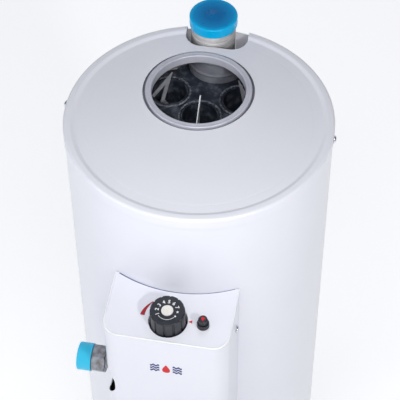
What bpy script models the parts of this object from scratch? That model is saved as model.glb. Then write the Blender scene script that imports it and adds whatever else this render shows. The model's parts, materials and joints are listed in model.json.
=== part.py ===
"""Floor-standing gas water heater: a round steel jacket over a fire-tube water shell.

Metres, +Z up, front towards -Y.  The origin is the middle of the base pan's underside,
on the jacket's axis.
"""
import math

import bmesh
import bpy
from mathutils import Matrix, Vector

MM = 0.001

# ---- clearances -----------------------------------------------------------
SEAT = 0.3 * MM            # between two pieces that rest on each other
RUN = 0.4 * MM             # round a pin, shank or sleeve that sits in a hole
SLEEVE = 1.0 * MM          # between large nested sheets
MERGE = 0.001 * MM
REACH = 30.0 * MM          # how far a cutter runs past what it cuts

# ---- segment counts -------------------------------------------------------
SEG_CASE = 64
SEG_SHELL = 40
SEG_KNOB = 36              # a multiple of the knob's grips
SEG_PIPE = 28
SEG_TUBE = 16
SEG_SMALL = 10

# ---- casing ---------------------------------------------------------------
JACKET_R = 158.9 * MM
JACKET_WALL = 1.0 * MM
LID_WALL = 0.8 * MM
LID_TOP = 850.0 * MM       # top of the lid's raised rim
LID_SKIRT = 15.7 * MM
LID_OVERLAP = 4.5 * MM     # from the lid's rim down to the jacket's top edge
RIM_FILLET = 3.5 * MM
RIM_FLAT = 4.5 * MM
RIM_SLOPE = 5.0 * MM
RIM_RISE = 2.5 * MM
LID_CROWN = 0.8 * MM
BASE_H = 90.0 * MM
BASE_WALL = 2.0 * MM
TRAY_REST = 14.0 * MM      # how far the base's flange reaches under the burner tray
BASE_SLOTS = 7
SLOT_STEP = math.radians(36.0)
SLOT_W = 44.0 * MM
SLOT_H = 30.0 * MM
SLOT_Z = 22.0 * MM

# ---- water shell, firebox and fire tubes ----------------------------------
BLANKET_T = 5.9 * MM
SHELL_WALL = 3.0 * MM
WATER_GAP = 16.0 * MM      # between the shell and the firebox
FIREBOX_WALL = 3.0 * MM
PLATE_T = 3.0 * MM
TUBE_R = 24.0 * MM
TUBE_WALL = 2.0 * MM
TUBE_LENGTH = 376.0 * MM   # from the firebox's crown to the top tube plate
TUBE_PROUD = 2.0 * MM
TUBE_SPREAD = 21.0 * MM    # from a side tube's inner edge to the flue's centre line
TUBE_EDGE = 1.6 * MM       # from a side tube to the firebox's wall
TUBE_WEB = 9.0 * MM        # metal left between two tubes
STRIP_W = 5.0 * MM
STRIP_T = 1.5 * MM
STRIP_SWING = 10.0 * MM
STRIP_FOLD = 34.0 * MM
STRIP_FOLDS = 5
STRIP_PROUD = 23.0 * MM     # from a tube's top up to the line of its strip's peak
STRIP_LEAN = math.radians(40.0)   # a side tube's strip folds this far off the X axis

# ---- flue -----------------------------------------------------------------
FLUE_X = -9.0 * MM
FLUE_BORE_R = 56.7 * MM
FLUE_BRIDGE = 9.1 * MM     # lid left between the flue hole and the riser's notch
COLLAR_WALL = 1.0 * MM
COLLAR_RING = 7.6 * MM     # width of the collar's flat top
COLLAR_EDGE = 1.5 * MM
COLLAR_PROUD = 0.3 * MM    # above the lid's rim
COLLAR_DEPTH = 11.0 * MM
LID_HOLE_GAP = 3.0 * MM
HOOD_INSET = 4.0 * MM      # in from the water shell's outside
HOOD_WALL = 1.0 * MM
HOOD_H = 50.0 * MM
HOOD_DROP = 7.0 * MM       # from the lid's rim down to the hood's top
SHROUD_WALL = 1.0 * MM
SHROUD_BEAD = 1.2 * MM
BEAD_HALF = 2.0 * MM
BEAD_FROM_TOP = 14.0 * MM
BEAD_FROM_FOOT = 12.0 * MM
SENSOR_AZ = math.radians(124.1)
SENSOR_OUT = 17.2 * MM     # from the collar's neck to the draught sensor
SENSOR_HALF = 7.0 * MM
SENSOR_H = 22.0 * MM
SENSOR_T = 6.0 * MM

# ---- water connections ----------------------------------------------------
RISER_X = -9.9 * MM
RISER_OUT = 1.0 * MM       # from the water shell's outside to the riser's axis
RISER_DIP = 78.0 * MM      # the riser's reach below the top tube plate
RISER_PROUD = 24.0 * MM    # its reach above the lid's rim
PIPE_R = 27.6 * MM
PIPE_WALL = 3.2 * MM
PIPE_EDGE = 1.0 * MM
RISER_GAP = 9.6 * MM       # from the riser to the shroud round it
WINDOW_SILL = 6.0 * MM
WINDOW_TOP = 20.0 * MM     # from the tube plate down to the riser's window
NOTCH_SIDE = 11.0 * MM     # from the riser to the notch's sides
NOTCH_AHEAD = 1.0 * MM     # from the riser to the notch's front edge
NOTCH_SHIFT = 5.8 * MM     # the notch's centre sits this far to +X of the riser
NOTCH_CORNER = 20.0 * MM
RETURN_UP = 60.0 * MM      # from the base's top to the return pipe's axis
RETURN_OUT = 25.1 * MM     # the return pipe's reach past the jacket
RETURN_IN = 9.0 * MM       # its reach inside the water shell's outside
CAP_WALL = 1.5 * MM
CAP_SIDE = 2.1 * MM        # from a pipe's outside to its cap's outside
CAP_SKIRT = 13.0 * MM
CAP_EDGE = 1.6 * MM
GATE_H = 0.3 * MM

# ---- control cover --------------------------------------------------------
COVER_HALF = 75.0 * MM
COVER_MARGIN = 6.5 * MM    # from the knob's hole to the cover's front
COVER_CORNER = 20.0 * MM
COVER_WALL = 1.0 * MM
COVER_DROP = 133.0 * MM    # from the lid's rim to where the cover's top meets the jacket
COVER_LIFT = 22.0 * MM     # from the base's top to the cover's bottom edge
COVER_TILT = math.radians(6.0)
COVER_EDGE = 3.0 * MM
SCREW_R = 2.0 * MM
HEAD_R = 5.2 * MM
HEAD_H = 2.6 * MM
SCREW_DROP = 54.3 * MM     # from the cover's top to its side screws
BRACKET_T = 2.0 * MM
BRACKET_H = 30.0 * MM
BRACKET_FOOT = 20.0 * MM

# ---- gas valve, knob and igniter (measured along the tilted control axis) --
KNOB_BACK = 39.0 * MM      # from the jacket's front to the knob's axis
KNOB_R = 21.75 * MM
KNOB_TAPER = 1.35 * MM
KNOB_H = 22.5 * MM
KNOB_SUNK = 3.0 * MM
KNOB_WALL = 2.0 * MM
KNOB_GAP = 1.2 * MM
KNOB_EDGE = 1.2 * MM
KNOB_GRIPS = 12
GRIP_R = 1.1 * MM
DISC_R = 7.0 * MM
DISC_T = 1.5 * MM
HUB_R = 8.5 * MM
SPINDLE_R = 4.0 * MM
SPINDLE_END = -32.0 * MM
PRESS_TRAVEL = 4.5 * MM
PUSH_R = 9.5 * MM
PUSH_H = 6.0 * MM
VALVE_TOP = -24.0 * MM
VALVE_BOTTOM = -95.0 * MM
VALVE_SHOULDER = -42.0 * MM
VALVE_HALF = 38.0 * MM
VALVE_FRONT = -20.0 * MM
VALVE_SPACE = 17.0 * MM    # from the jacket's front to the valve's back
BONNET_R = 17.0 * MM
SPRING_R = 7.0 * MM
SPRING_WIRE = 0.6 * MM
SPRING_TURNS = 4
PIEZO_X = 41.3 * MM
BUTTON_R = 5.35 * MM
BUTTON_TOP = 15.0 * MM
BUTTON_TRAVEL = 6.0 * MM
BUTTON_LENGTH = 19.0 * MM
PIEZO_COLLAR_R = 7.15 * MM
PIEZO_COLLAR_H = 7.0 * MM
PIEZO_BODY_R = 6.3 * MM
PIEZO_DEPTH = 32.0 * MM

# ---- gas inlet ------------------------------------------------------------
INLET_AHEAD = 21.1 * MM    # from the jacket's front to the inlet's axis
INLET_DROP = 28.9 * MM     # from the valve's foot down to the inlet's axis
INLET_OUT = 43.5 * MM      # from the cover's side to the capped end
INLET_THREAD_R = 13.2 * MM
INLET_NECK_R = 11.0 * MM
INLET_PIPE_R = 8.0 * MM
INLET_BORE_L = 25.0 * MM
INLET_SHOULDER = 8.0 * MM
INLET_CAP_SIDE = 4.3 * MM  # from the thread to the cap's outside
INLET_CAP_L = 18.3 * MM
NUT_FLATS = 31.5 * MM
NUT_L = 17.0 * MM
CUT_R = 27.0 * MM          # long opening in the cover's side for the gas inlet
CUT_LONG = 5.0 * MM        # half the straight part of its sides
CUT_AHEAD = 15.0 * MM      # from the inlet's axis forward to the opening's centre
CUT_LIFT = 8.0 * MM        # and up to it

# ---- burner and pilot -----------------------------------------------------
TRAY_T = 1.5 * MM
TRAY_HOLES = 10
TRAY_HOLE_R = 8.0 * MM
BURNER_AIR = 48.0 * MM     # from the burner to the firebox's wall
BURNER_LIFT = 14.0 * MM    # from the base's top to the burner's underside
BURNER_H = 24.0 * MM
MIXER_R = 15.0 * MM
MIXER_DROP = 28.0 * MM     # from the base's top to the mixer's axis
ORIFICE_L = 18.0 * MM
ORIFICE_GAP = 5.0 * MM     # from the mixer's mouth to the orifice
FEED_R = 5.0 * MM
PILOT_GAP = 14.0 * MM      # from the burner's rim to the pilot's axis
PILOT_R = 5.5 * MM
PROBE_STEP = 15.0 * MM
LINE_R = 2.0 * MM
THERMO_R = 1.5 * MM
LINE_OUT = 33.0 * MM       # from the jacket's front to the lines behind the cover
FEED_X = 20.0 * MM
PILOT_X = -8.0 * MM
THERMO_X = -24.0 * MM
LEAD_GAP = 3.3 * MM        # from the valve's side to the spark lead
DOOR_W = 90.0 * MM
DOOR_H = 44.0 * MM
DOOR_DROP = 6.0 * MM       # from the base's top to the burner opening

# ---- thermostat probe, draught sensor, sight flap -------------------------
POCKET_X = -4.0 * MM
POCKET_DROP = 44.0 * MM    # from the gas inlet's axis to the pocket's axis
POCKET_R = 7.0 * MM
POCKET_L = 81.0 * MM
POCKET_PROUD = 6.1 * MM    # past the jacket's front
POCKET_END = 3.0 * MM
BULB_R = 3.5 * MM
CAPILLARY_R = 1.0 * MM
FLAP_AZ = math.radians(30.0)
FLAP_W = 26.0 * MM
FLAP_L = 34.0 * MM
FLAP_T = 1.5 * MM
FLAP_PIN_MARGIN = 6.0 * MM
FLAP_DROP = 14.0 * MM      # from the base's top to the flap's pin
FLAP_PIN_R = 2.5 * MM
SIGHT_R = 8.0 * MM

# ---- worked out from the sizes above --------------------------------------
LID_R = JACKET_R + SEAT + LID_WALL
JACKET_TOP = LID_TOP - LID_OVERLAP
JACKET_IN = JACKET_R - JACKET_WALL
PLATEAU_Z = LID_TOP - RIM_RISE
HOOD_TOP = LID_TOP - HOOD_DROP
PLATE_Z = HOOD_TOP - HOOD_H
PLATE_TOP = PLATE_Z + PLATE_T
SHELL_R = JACKET_IN - SLEEVE - BLANKET_T - SLEEVE
HOOD_R = SHELL_R - HOOD_INSET
FIREBOX_R = SHELL_R - SHELL_WALL - WATER_GAP
FIREBOX_IN = FIREBOX_R - FIREBOX_WALL
CROWN_Z = PLATE_Z - TUBE_LENGTH

PIPE_CAP_R = PIPE_R + CAP_SIDE
RISER_Y = SHELL_R + RISER_OUT
RISER_BOTTOM = PLATE_Z - RISER_DIP
RISER_TOP = LID_TOP + RISER_PROUD
NOTCH_HALF = PIPE_R + NOTCH_SIDE
NOTCH_FRONT_Y = RISER_Y - PIPE_R - NOTCH_AHEAD
SHROUD_R = PIPE_R + RISER_GAP + SHROUD_WALL
SHROUD_X = RISER_X + NOTCH_SHIFT
SHROUD_Y = RISER_Y - 2 * SHROUD_WALL
RETURN_Z = BASE_H + RETURN_UP
RETURN_END = JACKET_R + RETURN_OUT
RETURN_START = SHELL_R - RETURN_IN

COLLAR_LIP_R = FLUE_BORE_R + COLLAR_RING
COLLAR_TOP = LID_TOP + COLLAR_PROUD
LID_HOLE_R = COLLAR_LIP_R + LID_HOLE_GAP
FLUE_Y = NOTCH_FRONT_Y - FLUE_BRIDGE - LID_HOLE_R

TUBE_TOP = PLATE_TOP + TUBE_PROUD
TUBE_FAR_X = TUBE_R + TUBE_SPREAD
TUBE_FAR_Y = math.sqrt((FIREBOX_IN - TUBE_EDGE - TUBE_R) ** 2 - (TUBE_FAR_X - FLUE_X) ** 2)
TUBE_NEAR_Y = TUBE_FAR_Y - math.sqrt((2 * TUBE_R + TUBE_WEB) ** 2 - TUBE_FAR_X ** 2)
TUBE_SITES = [
    (FLUE_X + side * TUBE_FAR_X, end * TUBE_FAR_Y) for end in (1, -1) for side in (-1, 1)
] + [(FLUE_X, end * TUBE_NEAR_Y) for end in (1, -1)]
STRIP_TURNS = [STRIP_LEAN, math.pi - STRIP_LEAN, -STRIP_LEAN, math.pi + STRIP_LEAN,
               math.pi / 2, math.pi / 2]

KNOB_TOP_R = KNOB_R - KNOB_TAPER
KNOB_Y = -JACKET_R - KNOB_BACK
COVER_Y = KNOB_Y - KNOB_R - KNOB_GAP - COVER_MARGIN
COVER_TOP = LID_TOP - COVER_DROP
COVER_BOTTOM = BASE_H + COVER_LIFT
COVER_SCREW_Z = COVER_TOP - SCREW_DROP
TILT = math.tan(COVER_TILT)
KNOB_Z = COVER_TOP + (KNOB_Y + JACKET_R) * TILT
VALVE_REAR = KNOB_BACK - VALVE_SPACE
INLET_X = -COVER_HALF - INLET_OUT
INLET_Y = -JACKET_R - INLET_AHEAD
INLET_Z = KNOB_Z + VALVE_BOTTOM - INLET_DROP
POCKET_Z = INLET_Z - POCKET_DROP
POCKET_OUT = -JACKET_R - POCKET_PROUD
POCKET_IN = POCKET_OUT + POCKET_L

TRAY_R = FIREBOX_IN - 2 * SLEEVE
BASE_FLANGE_R = TRAY_R - TRAY_REST
BURNER_R = FIREBOX_IN - BURNER_AIR
BURNER_Z = BASE_H + BURNER_LIFT
PILOT_Y = -BURNER_R - PILOT_GAP
PILOT_FOOT = BASE_H + SLEEVE + 2 * TRAY_T
PILOT_TOP = BURNER_Z + BURNER_H
MIXER_Z = BASE_H - MIXER_DROP
MIXER_MOUTH = PILOT_Y - SLEEVE
DOOR_HIGH = BASE_H - DOOR_DROP
FLAP_PIN_Z = BASE_H - FLAP_DROP
SIGHT_DROP = FLAP_L - 2 * FLAP_PIN_MARGIN - SIGHT_R / 2
UP = (0.0, 0.0, 1.0)


# ---- materials ------------------------------------------------------------
def material(name, colour, roughness, metallic=0.0):
    made = bpy.data.materials.new(name)
    made.use_nodes = True
    shader = made.node_tree.nodes["Principled BSDF"]
    shader.inputs["Base Color"].default_value = (*colour, 1.0)
    shader.inputs["Roughness"].default_value = roughness
    shader.inputs["Metallic"].default_value = metallic
    made.diffuse_color = (*colour, 1.0)
    return made


def make_materials():
    return {
        "enamel": material("white_enamel", (0.82, 0.83, 0.90), 0.35),
        "base": material("base_paint", (0.10, 0.105, 0.115), 0.5),
        "grey": material("hood_steel", (0.42, 0.43, 0.46), 0.42, 0.6),
        "dark": material("dark_steel", (0.07, 0.08, 0.10), 0.55, 0.7),
        "thread": material("zinc_pipe", (0.72, 0.71, 0.71), 0.38, 0.8),
        "blue": material("blue_plastic", (0.02, 0.42, 0.72), 0.3),
        "black": material("black_plastic", (0.03, 0.032, 0.038), 0.42),
        "white": material("white_plastic", (0.80, 0.78, 0.75), 0.5),
        "cast": material("cast_aluminium", (0.55, 0.56, 0.58), 0.5, 0.8),
        "zinc": material("zinc_nut", (0.44, 0.45, 0.47), 0.45, 0.9),
        "chrome": material("plated_screw", (0.75, 0.76, 0.80), 0.2, 1.0),
        "wool": material("mineral_wool", (0.62, 0.55, 0.36), 0.95),
        "iron": material("cast_iron", (0.09, 0.09, 0.10), 0.7, 0.5),
        "brass": material("brass", (0.72, 0.52, 0.22), 0.3, 1.0),
        "copper": material("copper", (0.72, 0.36, 0.22), 0.3, 1.0),
        "lead": material("silicone_lead", (0.45, 0.06, 0.05), 0.6),
        "ceramic": material("ceramic", (0.85, 0.83, 0.78), 0.35),
    }


# ---- shape tools ----------------------------------------------------------
def turned(profile, segments):
    """A closed (radius, height) outline turned about Z; it may start and end on the axis."""
    mesh = bmesh.new()
    verts = [mesh.verts.new((r, 0.0, z)) for r, z in profile]
    pairs = list(zip(verts, verts[1:]))
    if profile[0][0] > 0.0:
        pairs.append((verts[-1], verts[0]))
    edges = [mesh.edges.new(pair) for pair in pairs]
    bmesh.ops.spin(mesh, geom=verts + edges, cent=(0, 0, 0), axis=UP, dvec=(0, 0, 0),
                   angle=2.0 * math.pi, steps=segments)
    bmesh.ops.remove_doubles(mesh, verts=mesh.verts, dist=MERGE)
    bmesh.ops.recalc_face_normals(mesh, faces=mesh.faces)
    return mesh


def prism(outline, low, high):
    """An outline in XY carried from height low to height high."""
    mesh = bmesh.new()
    face = mesh.faces.new([mesh.verts.new((x, y, low)) for x, y in outline])
    grown = bmesh.ops.extrude_face_region(mesh, geom=[face])
    top = [item for item in grown["geom"] if isinstance(item, bmesh.types.BMVert)]
    bmesh.ops.translate(mesh, verts=top, vec=(0.0, 0.0, high - low))
    bmesh.ops.recalc_face_normals(mesh, faces=mesh.faces)
    return mesh


def block(low, high, mesh=None):
    """A box between two corners, alone or added to a mesh."""
    mesh = mesh or bmesh.new()
    low, high = Vector(low), Vector(high)
    size = high - low
    place = Matrix.Translation((low + high) / 2.0) @ Matrix.Diagonal((*size, 1.0))
    bmesh.ops.create_cube(mesh, size=1.0, matrix=place)
    return mesh


def rod(radius, low, high, segments, mesh=None, centre=(0.0, 0.0)):
    """A round bar along Z, alone or added to a mesh."""
    mesh = mesh or bmesh.new()
    place = Matrix.Translation((centre[0], centre[1], (low + high) / 2.0))
    bmesh.ops.create_cone(mesh, cap_ends=True, segments=segments, radius1=radius,
                          radius2=radius, depth=high - low, matrix=place)
    return mesh


def arc(cx, cy, radius, start, end, steps):
    """Points on an arc, in degrees, both ends included."""
    angles = [math.radians(start + (end - start) * i / steps) for i in range(steps + 1)]
    return [(cx + radius * math.cos(a), cy + radius * math.sin(a)) for a in angles]


def join_mesh(target, source):
    """Add one bmesh's shapes to another and free it."""
    data = bpy.data.meshes.new("joined")
    source.to_mesh(data)
    source.free()
    target.from_mesh(data)
    bpy.data.meshes.remove(data)


def add(name, mesh, finish, location=(0, 0, 0), rotation=(0, 0, 0), parent=None, sharp=35.0):
    """Turn a bmesh into a named, smooth-shaded object."""
    data = bpy.data.meshes.new(name)
    mesh.to_mesh(data)
    mesh.free()
    data.shade_smooth()
    data.set_sharp_from_angle(angle=math.radians(sharp))
    if finish:
        data.materials.append(finish)
    made = bpy.data.objects.new(name, data)
    made.location = location
    made.rotation_euler = rotation
    made.parent = parent
    bpy.context.scene.collection.objects.link(made)
    return made


def tool(name, mesh, location=(0, 0, 0), rotation=(0, 0, 0), parent=None):
    """A cutter: drawn as wire and left out of renders."""
    made = add(name, mesh, None, location, rotation, parent)
    made.hide_render = True
    made.display_type = "WIRE"
    return made


def combine(target, other, operation="DIFFERENCE"):
    change = target.modifiers.new(other.name, "BOOLEAN")
    change.operation = operation
    change.solver = "EXACT"
    change.object = other


def soften(target, width, segments=1, angle=40.0):
    """Round the sharp edges of a machined or cast piece."""
    bevel = target.modifiers.new("soft_edges", "BEVEL")
    bevel.width = width
    bevel.segments = segments
    bevel.limit_method = "ANGLE"
    bevel.angle_limit = math.radians(angle)


def smooth_route(points, spacing):
    """Points read from a smooth curve through the route's own points, straight where they are."""
    knots = [Vector(p) for p in points]
    spans = [(b - a).length for a, b in zip(knots, knots[1:])]
    slopes = [(b - a) / span for a, b, span in zip(knots, knots[1:], spans)]
    turns = [(before * far + after * near) / (near + far)
             for before, after, near, far in zip(slopes, slopes[1:], spans, spans[1:])]
    tangents = slopes[:1] + turns + slopes[-1:]
    route = []
    for a, b, span, leave, arrive in zip(knots, knots[1:], spans, tangents, tangents[1:]):
        steps = max(1, round(span / spacing))
        for i in range(steps):
            t = i / steps
            ease = t * t * (3 - 2 * t)
            route.append(a + (b - a) * ease + span * (leave * t * (1 - t) ** 2
                                                      - arrive * t * t * (1 - t)))
    return route + [knots[-1]]


def pipe_along(name, points, radius, finish, spacing, sides=2, parent=None):
    """A solid line of round section along a smooth route, its ends capped."""
    curve = bpy.data.curves.new(name, "CURVE")
    curve.dimensions = "3D"
    curve.bevel_depth = radius
    curve.bevel_resolution = sides
    curve.use_fill_caps = True
    route = smooth_route(points, spacing)
    spline = curve.splines.new("POLY")
    spline.points.add(len(route) - 1)
    for point, place in zip(spline.points, route):
        point.co = (*place, 1.0)
    curve.materials.append(finish)
    made = bpy.data.objects.new(name, curve)
    made.parent = parent
    bpy.context.scene.collection.objects.link(made)
    return made


def empty(name, location, rotation=(0, 0, 0)):
    made = bpy.data.objects.new(name, None)
    made.location = location
    made.rotation_euler = rotation
    bpy.context.scene.collection.objects.link(made)
    return made


ALONG_Y = (math.radians(-90.0), 0.0, 0.0)      # local Z towards +Y
ALONG_FRONT = (math.radians(90.0), 0.0, 0.0)   # local Z towards -Y
ALONG_X = (0.0, math.radians(90.0), 0.0)       # local Z towards +X
ALONG_LEFT = (0.0, math.radians(-90.0), 0.0)   # local Z towards -X


# ---- shared cutters -------------------------------------------------------
def make_tools():
    """Cutters that more than one piece takes its fit from."""
    tools = {}
    riser = rod(PIPE_R + SEAT, RISER_BOTTOM - SEAT, LID_TOP, SEG_PIPE,
                centre=(RISER_X, RISER_Y))
    tools["riser_bed"] = tool("riser_bed", riser)
    margin = 3 * SLEEVE
    slot_half = PIPE_R + margin
    slot = block((RISER_X - slot_half, SHELL_R - PIPE_R, RISER_BOTTOM - margin),
                 (RISER_X + slot_half, JACKET_R + PIPE_R, LID_TOP))
    tools["riser_slot"] = tool("riser_slot", slot)
    front = rod(JACKET_R + RUN, 0.0, LID_TOP, SEG_CASE)
    tools["jacket_space"] = tool("jacket_space", front)
    holes = bmesh.new()
    for site in TUBE_SITES:
        rod(TUBE_R + SEAT, CROWN_Z - REACH, LID_TOP, SEG_TUBE, holes, site)
    tools["tube_holes"] = tool("tube_holes", holes)
    pocket = rod(POCKET_R + SLEEVE, -POCKET_IN, -POCKET_OUT + REACH, SEG_SMALL)
    tools["pocket_hole"] = tool("pocket_hole", pocket, (POCKET_X, 0, POCKET_Z), ALONG_FRONT)
    back = rod(PIPE_R + SEAT, RETURN_START, RETURN_END, SEG_PIPE)
    tools["return_hole"] = tool("return_hole", back, (0, 0, RETURN_Z), ALONG_Y)
    lid_screws = rod(SCREW_R + RUN, -LID_R - HEAD_H, LID_R + HEAD_H, SEG_SMALL)
    tools["lid_screw_hole"] = tool("lid_screw_hole", lid_screws,
                                   (0, 0, LID_TOP - LID_SKIRT / 2), ALONG_X)
    cover_screws = rod(SCREW_R + RUN, -COVER_HALF - HEAD_H, COVER_HALF + HEAD_H, SEG_SMALL)
    tools["cover_screw_hole"] = tool("cover_screw_hole", cover_screws,
                                     (0, -JACKET_R, COVER_SCREW_Z), ALONG_X)
    return tools


# ---- base and casing ------------------------------------------------------
def make_base(finish, flap_axis):
    foot = [(0.0, 0.0), (JACKET_R, 0.0), (JACKET_R, BASE_H), (BASE_FLANGE_R, BASE_H),
            (BASE_FLANGE_R, BASE_H - BASE_WALL), (JACKET_R - BASE_WALL, BASE_H - BASE_WALL),
            (JACKET_R - BASE_WALL, BASE_WALL), (0.0, BASE_WALL)]
    pan = add("base_pan", turned(foot, SEG_CASE), finish["base"])
    inside, outside = JACKET_R - 4 * BASE_WALL, JACKET_R + BASE_WALL
    slots = bmesh.new()
    for i in range(BASE_SLOTS):
        turn = math.radians(90.0) + (i - (BASE_SLOTS - 1) / 2) * SLOT_STEP
        bar = block((inside, -SLOT_W / 2, SLOT_Z), (outside, SLOT_W / 2, SLOT_Z + SLOT_H))
        bmesh.ops.rotate(bar, verts=bar.verts, cent=(0, 0, 0),
                         matrix=Matrix.Rotation(turn, 3, "Z"))
        join_mesh(slots, bar)
    combine(pan, tool("air_slots", slots))
    door = block((-DOOR_W / 2, -outside, DOOR_HIGH - DOOR_H), (DOOR_W / 2, -BASE_FLANGE_R, DOOR_HIGH))
    combine(pan, tool("burner_opening", door))
    sight = rod(SIGHT_R, inside, outside, SEG_SMALL, centre=(0.0, -SIGHT_DROP))
    combine(pan, tool("sight_hole", sight, parent=flap_axis))
    pin = rod(FLAP_PIN_R + RUN, inside, outside, SEG_SMALL)
    combine(pan, tool("flap_pin_hole", pin, parent=flap_axis))


def make_sight_flap(finish, flap_axis):
    """A shutter that hangs on its own pin over the pilot sight hole."""
    face = JACKET_R + RUN
    plate = block((-FLAP_W / 2, -FLAP_L + FLAP_PIN_MARGIN, face),
                  (FLAP_W / 2, FLAP_PIN_MARGIN, face + FLAP_T))
    flap = add("sight_flap", plate, finish["chrome"], parent=flap_axis)
    pin = rod(FLAP_PIN_R, JACKET_R - 3 * BASE_WALL, face + FLAP_T + MM, SEG_SMALL)
    combine(flap, tool("flap_pin", pin, parent=flap_axis), "UNION")


def make_jacket(finish, tools):
    wall = [(JACKET_R, JACKET_TOP), (JACKET_R, BASE_H + SEAT), (JACKET_IN, BASE_H + SEAT),
            (JACKET_IN, JACKET_TOP)]
    jacket = add("jacket", turned(wall, SEG_CASE), finish["enamel"])
    combine(jacket, tools["riser_slot"])
    wide = rod(PIPE_R + SLEEVE, RETURN_START, RETURN_END, SEG_PIPE)
    combine(jacket, tool("jacket_return_hole", wide, (0, 0, RETURN_Z), ALONG_Y))
    combine(jacket, tools["pocket_hole"])
    combine(jacket, tools["lid_screw_hole"])


def lid_outline():
    """The lid's pressed section, from the axis out and back along its underside."""
    bead = LID_R - RIM_FILLET - RIM_FLAT
    plateau = bead - RIM_SLOPE - LID_WALL
    top = [(0.0, PLATEAU_Z + LID_CROWN), (plateau, PLATEAU_Z), (bead, LID_TOP)]
    outer = arc(LID_R - RIM_FILLET, LID_TOP - RIM_FILLET, RIM_FILLET, 90.0, 0.0, 3)
    foot = LID_TOP - LID_SKIRT
    inner = arc(LID_R - RIM_FILLET, LID_TOP - RIM_FILLET, RIM_FILLET - LID_WALL, 0.0, 90.0, 2)
    under = [(bead, LID_TOP - LID_WALL), (plateau, PLATEAU_Z - LID_WALL),
             (0.0, PLATEAU_Z + LID_CROWN - LID_WALL)]
    return top + outer + [(LID_R, foot), (LID_R - LID_WALL, foot)] + inner + under


def notch_outline():
    """Plan of the notch in the lid's rear rim, round the riser."""
    cx, back = RISER_X + NOTCH_SHIFT, LID_R + PIPE_R
    front = NOTCH_FRONT_Y + NOTCH_CORNER
    reach = NOTCH_HALF - NOTCH_CORNER
    left = arc(cx - reach, front, NOTCH_CORNER, 180.0, 270.0, 6)
    right = arc(cx + reach, front, NOTCH_CORNER, 270.0, 360.0, 6)
    return [(cx - NOTCH_HALF, back)] + left + right + [(cx + NOTCH_HALF, back)]


def make_lid(finish, tools):
    lid = add("lid", turned(lid_outline(), SEG_CASE), finish["enamel"])
    deep = LID_TOP - 2 * LID_SKIRT
    hole = rod(LID_HOLE_R, deep, LID_TOP + LID_SKIRT, SEG_SHELL, centre=(FLUE_X, FLUE_Y))
    combine(lid, tool("lid_flue_hole", hole))
    notch = prism(notch_outline(), deep, LID_TOP + LID_SKIRT)
    combine(lid, tool("lid_notch", notch))
    combine(lid, tools["lid_screw_hole"])
    head = LID_R + SEAT
    for name, turn in (("lid_screw_right", ALONG_X), ("lid_screw_left", ALONG_LEFT)):
        make_screw(name, finish, (0, 0, LID_TOP - LID_SKIRT / 2), turn, head,
                   JACKET_IN - 2 * HEAD_H)


def make_screw(name, finish, location, turn, face, end):
    """A domed screw along local Z: its head sits on face, its shank runs back to end."""
    dome = [(HEAD_R, face), (HEAD_R, face + HEAD_H * 0.35), (HEAD_R * 0.78, face + HEAD_H * 0.8),
            (HEAD_R * 0.4, face + HEAD_H), (0.0, face + HEAD_H)]
    shank = [(0.0, end), (SCREW_R, end), (SCREW_R, face)]
    add(name, turned(shank + dome, SEG_SMALL), finish["chrome"], location, turn)


# ---- water shell ----------------------------------------------------------
def make_blanket(finish, tools):
    inner = SHELL_R + SLEEVE
    outer = inner + BLANKET_T
    low, high = BASE_H + SLEEVE, PLATE_Z
    wall = [(outer, high), (outer, low), (inner, low), (inner, high)]
    blanket = add("insulation_blanket", turned(wall, SEG_CASE), finish["wool"])
    combine(blanket, tools["riser_slot"])
    combine(blanket, tools["pocket_hole"])
    wide = rod(PIPE_R + SLEEVE, RETURN_START, RETURN_END, SEG_PIPE)
    combine(blanket, tool("blanket_return_hole", wide, (0, 0, RETURN_Z), ALONG_Y))


def make_shell(finish, tools):
    low = BASE_H + SEAT + FIREBOX_WALL + SEAT
    wall = [(SHELL_R, PLATE_Z - SEAT), (SHELL_R, low), (SHELL_R - SHELL_WALL, low),
            (SHELL_R - SHELL_WALL, PLATE_Z - SEAT)]
    shell = add("boiler_shell", turned(wall, SEG_SHELL), finish["dark"])
    combine(shell, tools["riser_bed"])
    combine(shell, tools["return_hole"])
    combine(shell, tools["pocket_hole"])


def make_firebox(finish, tools):
    """Inner wall of the water jacket, with its foot ring and its drilled crown."""
    low = BASE_H + SEAT
    inner = FIREBOX_IN
    cup = [(0.0, CROWN_Z + FIREBOX_WALL), (FIREBOX_R, CROWN_Z + FIREBOX_WALL),
           (FIREBOX_R, low + FIREBOX_WALL), (SHELL_R, low + FIREBOX_WALL), (SHELL_R, low),
           (inner, low), (inner, CROWN_Z), (0.0, CROWN_Z)]
    firebox = add("firebox", turned(cup, SEG_SHELL), finish["dark"])
    combine(firebox, tools["tube_holes"])


def make_top_plate(finish, tools):
    plate = add("top_tube_plate", rod(SHELL_R, PLATE_Z, PLATE_TOP, SEG_SHELL), finish["dark"])
    combine(plate, tools["tube_holes"])
    combine(plate, tools["riser_bed"])


def make_fire_tubes(finish):
    inner = TUBE_R - TUBE_WALL
    wall = [(TUBE_R, TUBE_TOP), (TUBE_R, CROWN_Z), (inner, CROWN_Z), (inner, TUBE_TOP)]
    for number, ((x, y), turn) in enumerate(zip(TUBE_SITES, STRIP_TURNS), 1):
        add(f"fire_tube_{number}", turned(wall, SEG_TUBE), finish["dark"], (x, y, 0.0))
        add(f"turbulator_{number}", turbulator_strip(), finish["grey"],
            (x, y, TUBE_TOP + STRIP_PROUD), (0.0, 0.0, turn))


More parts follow.
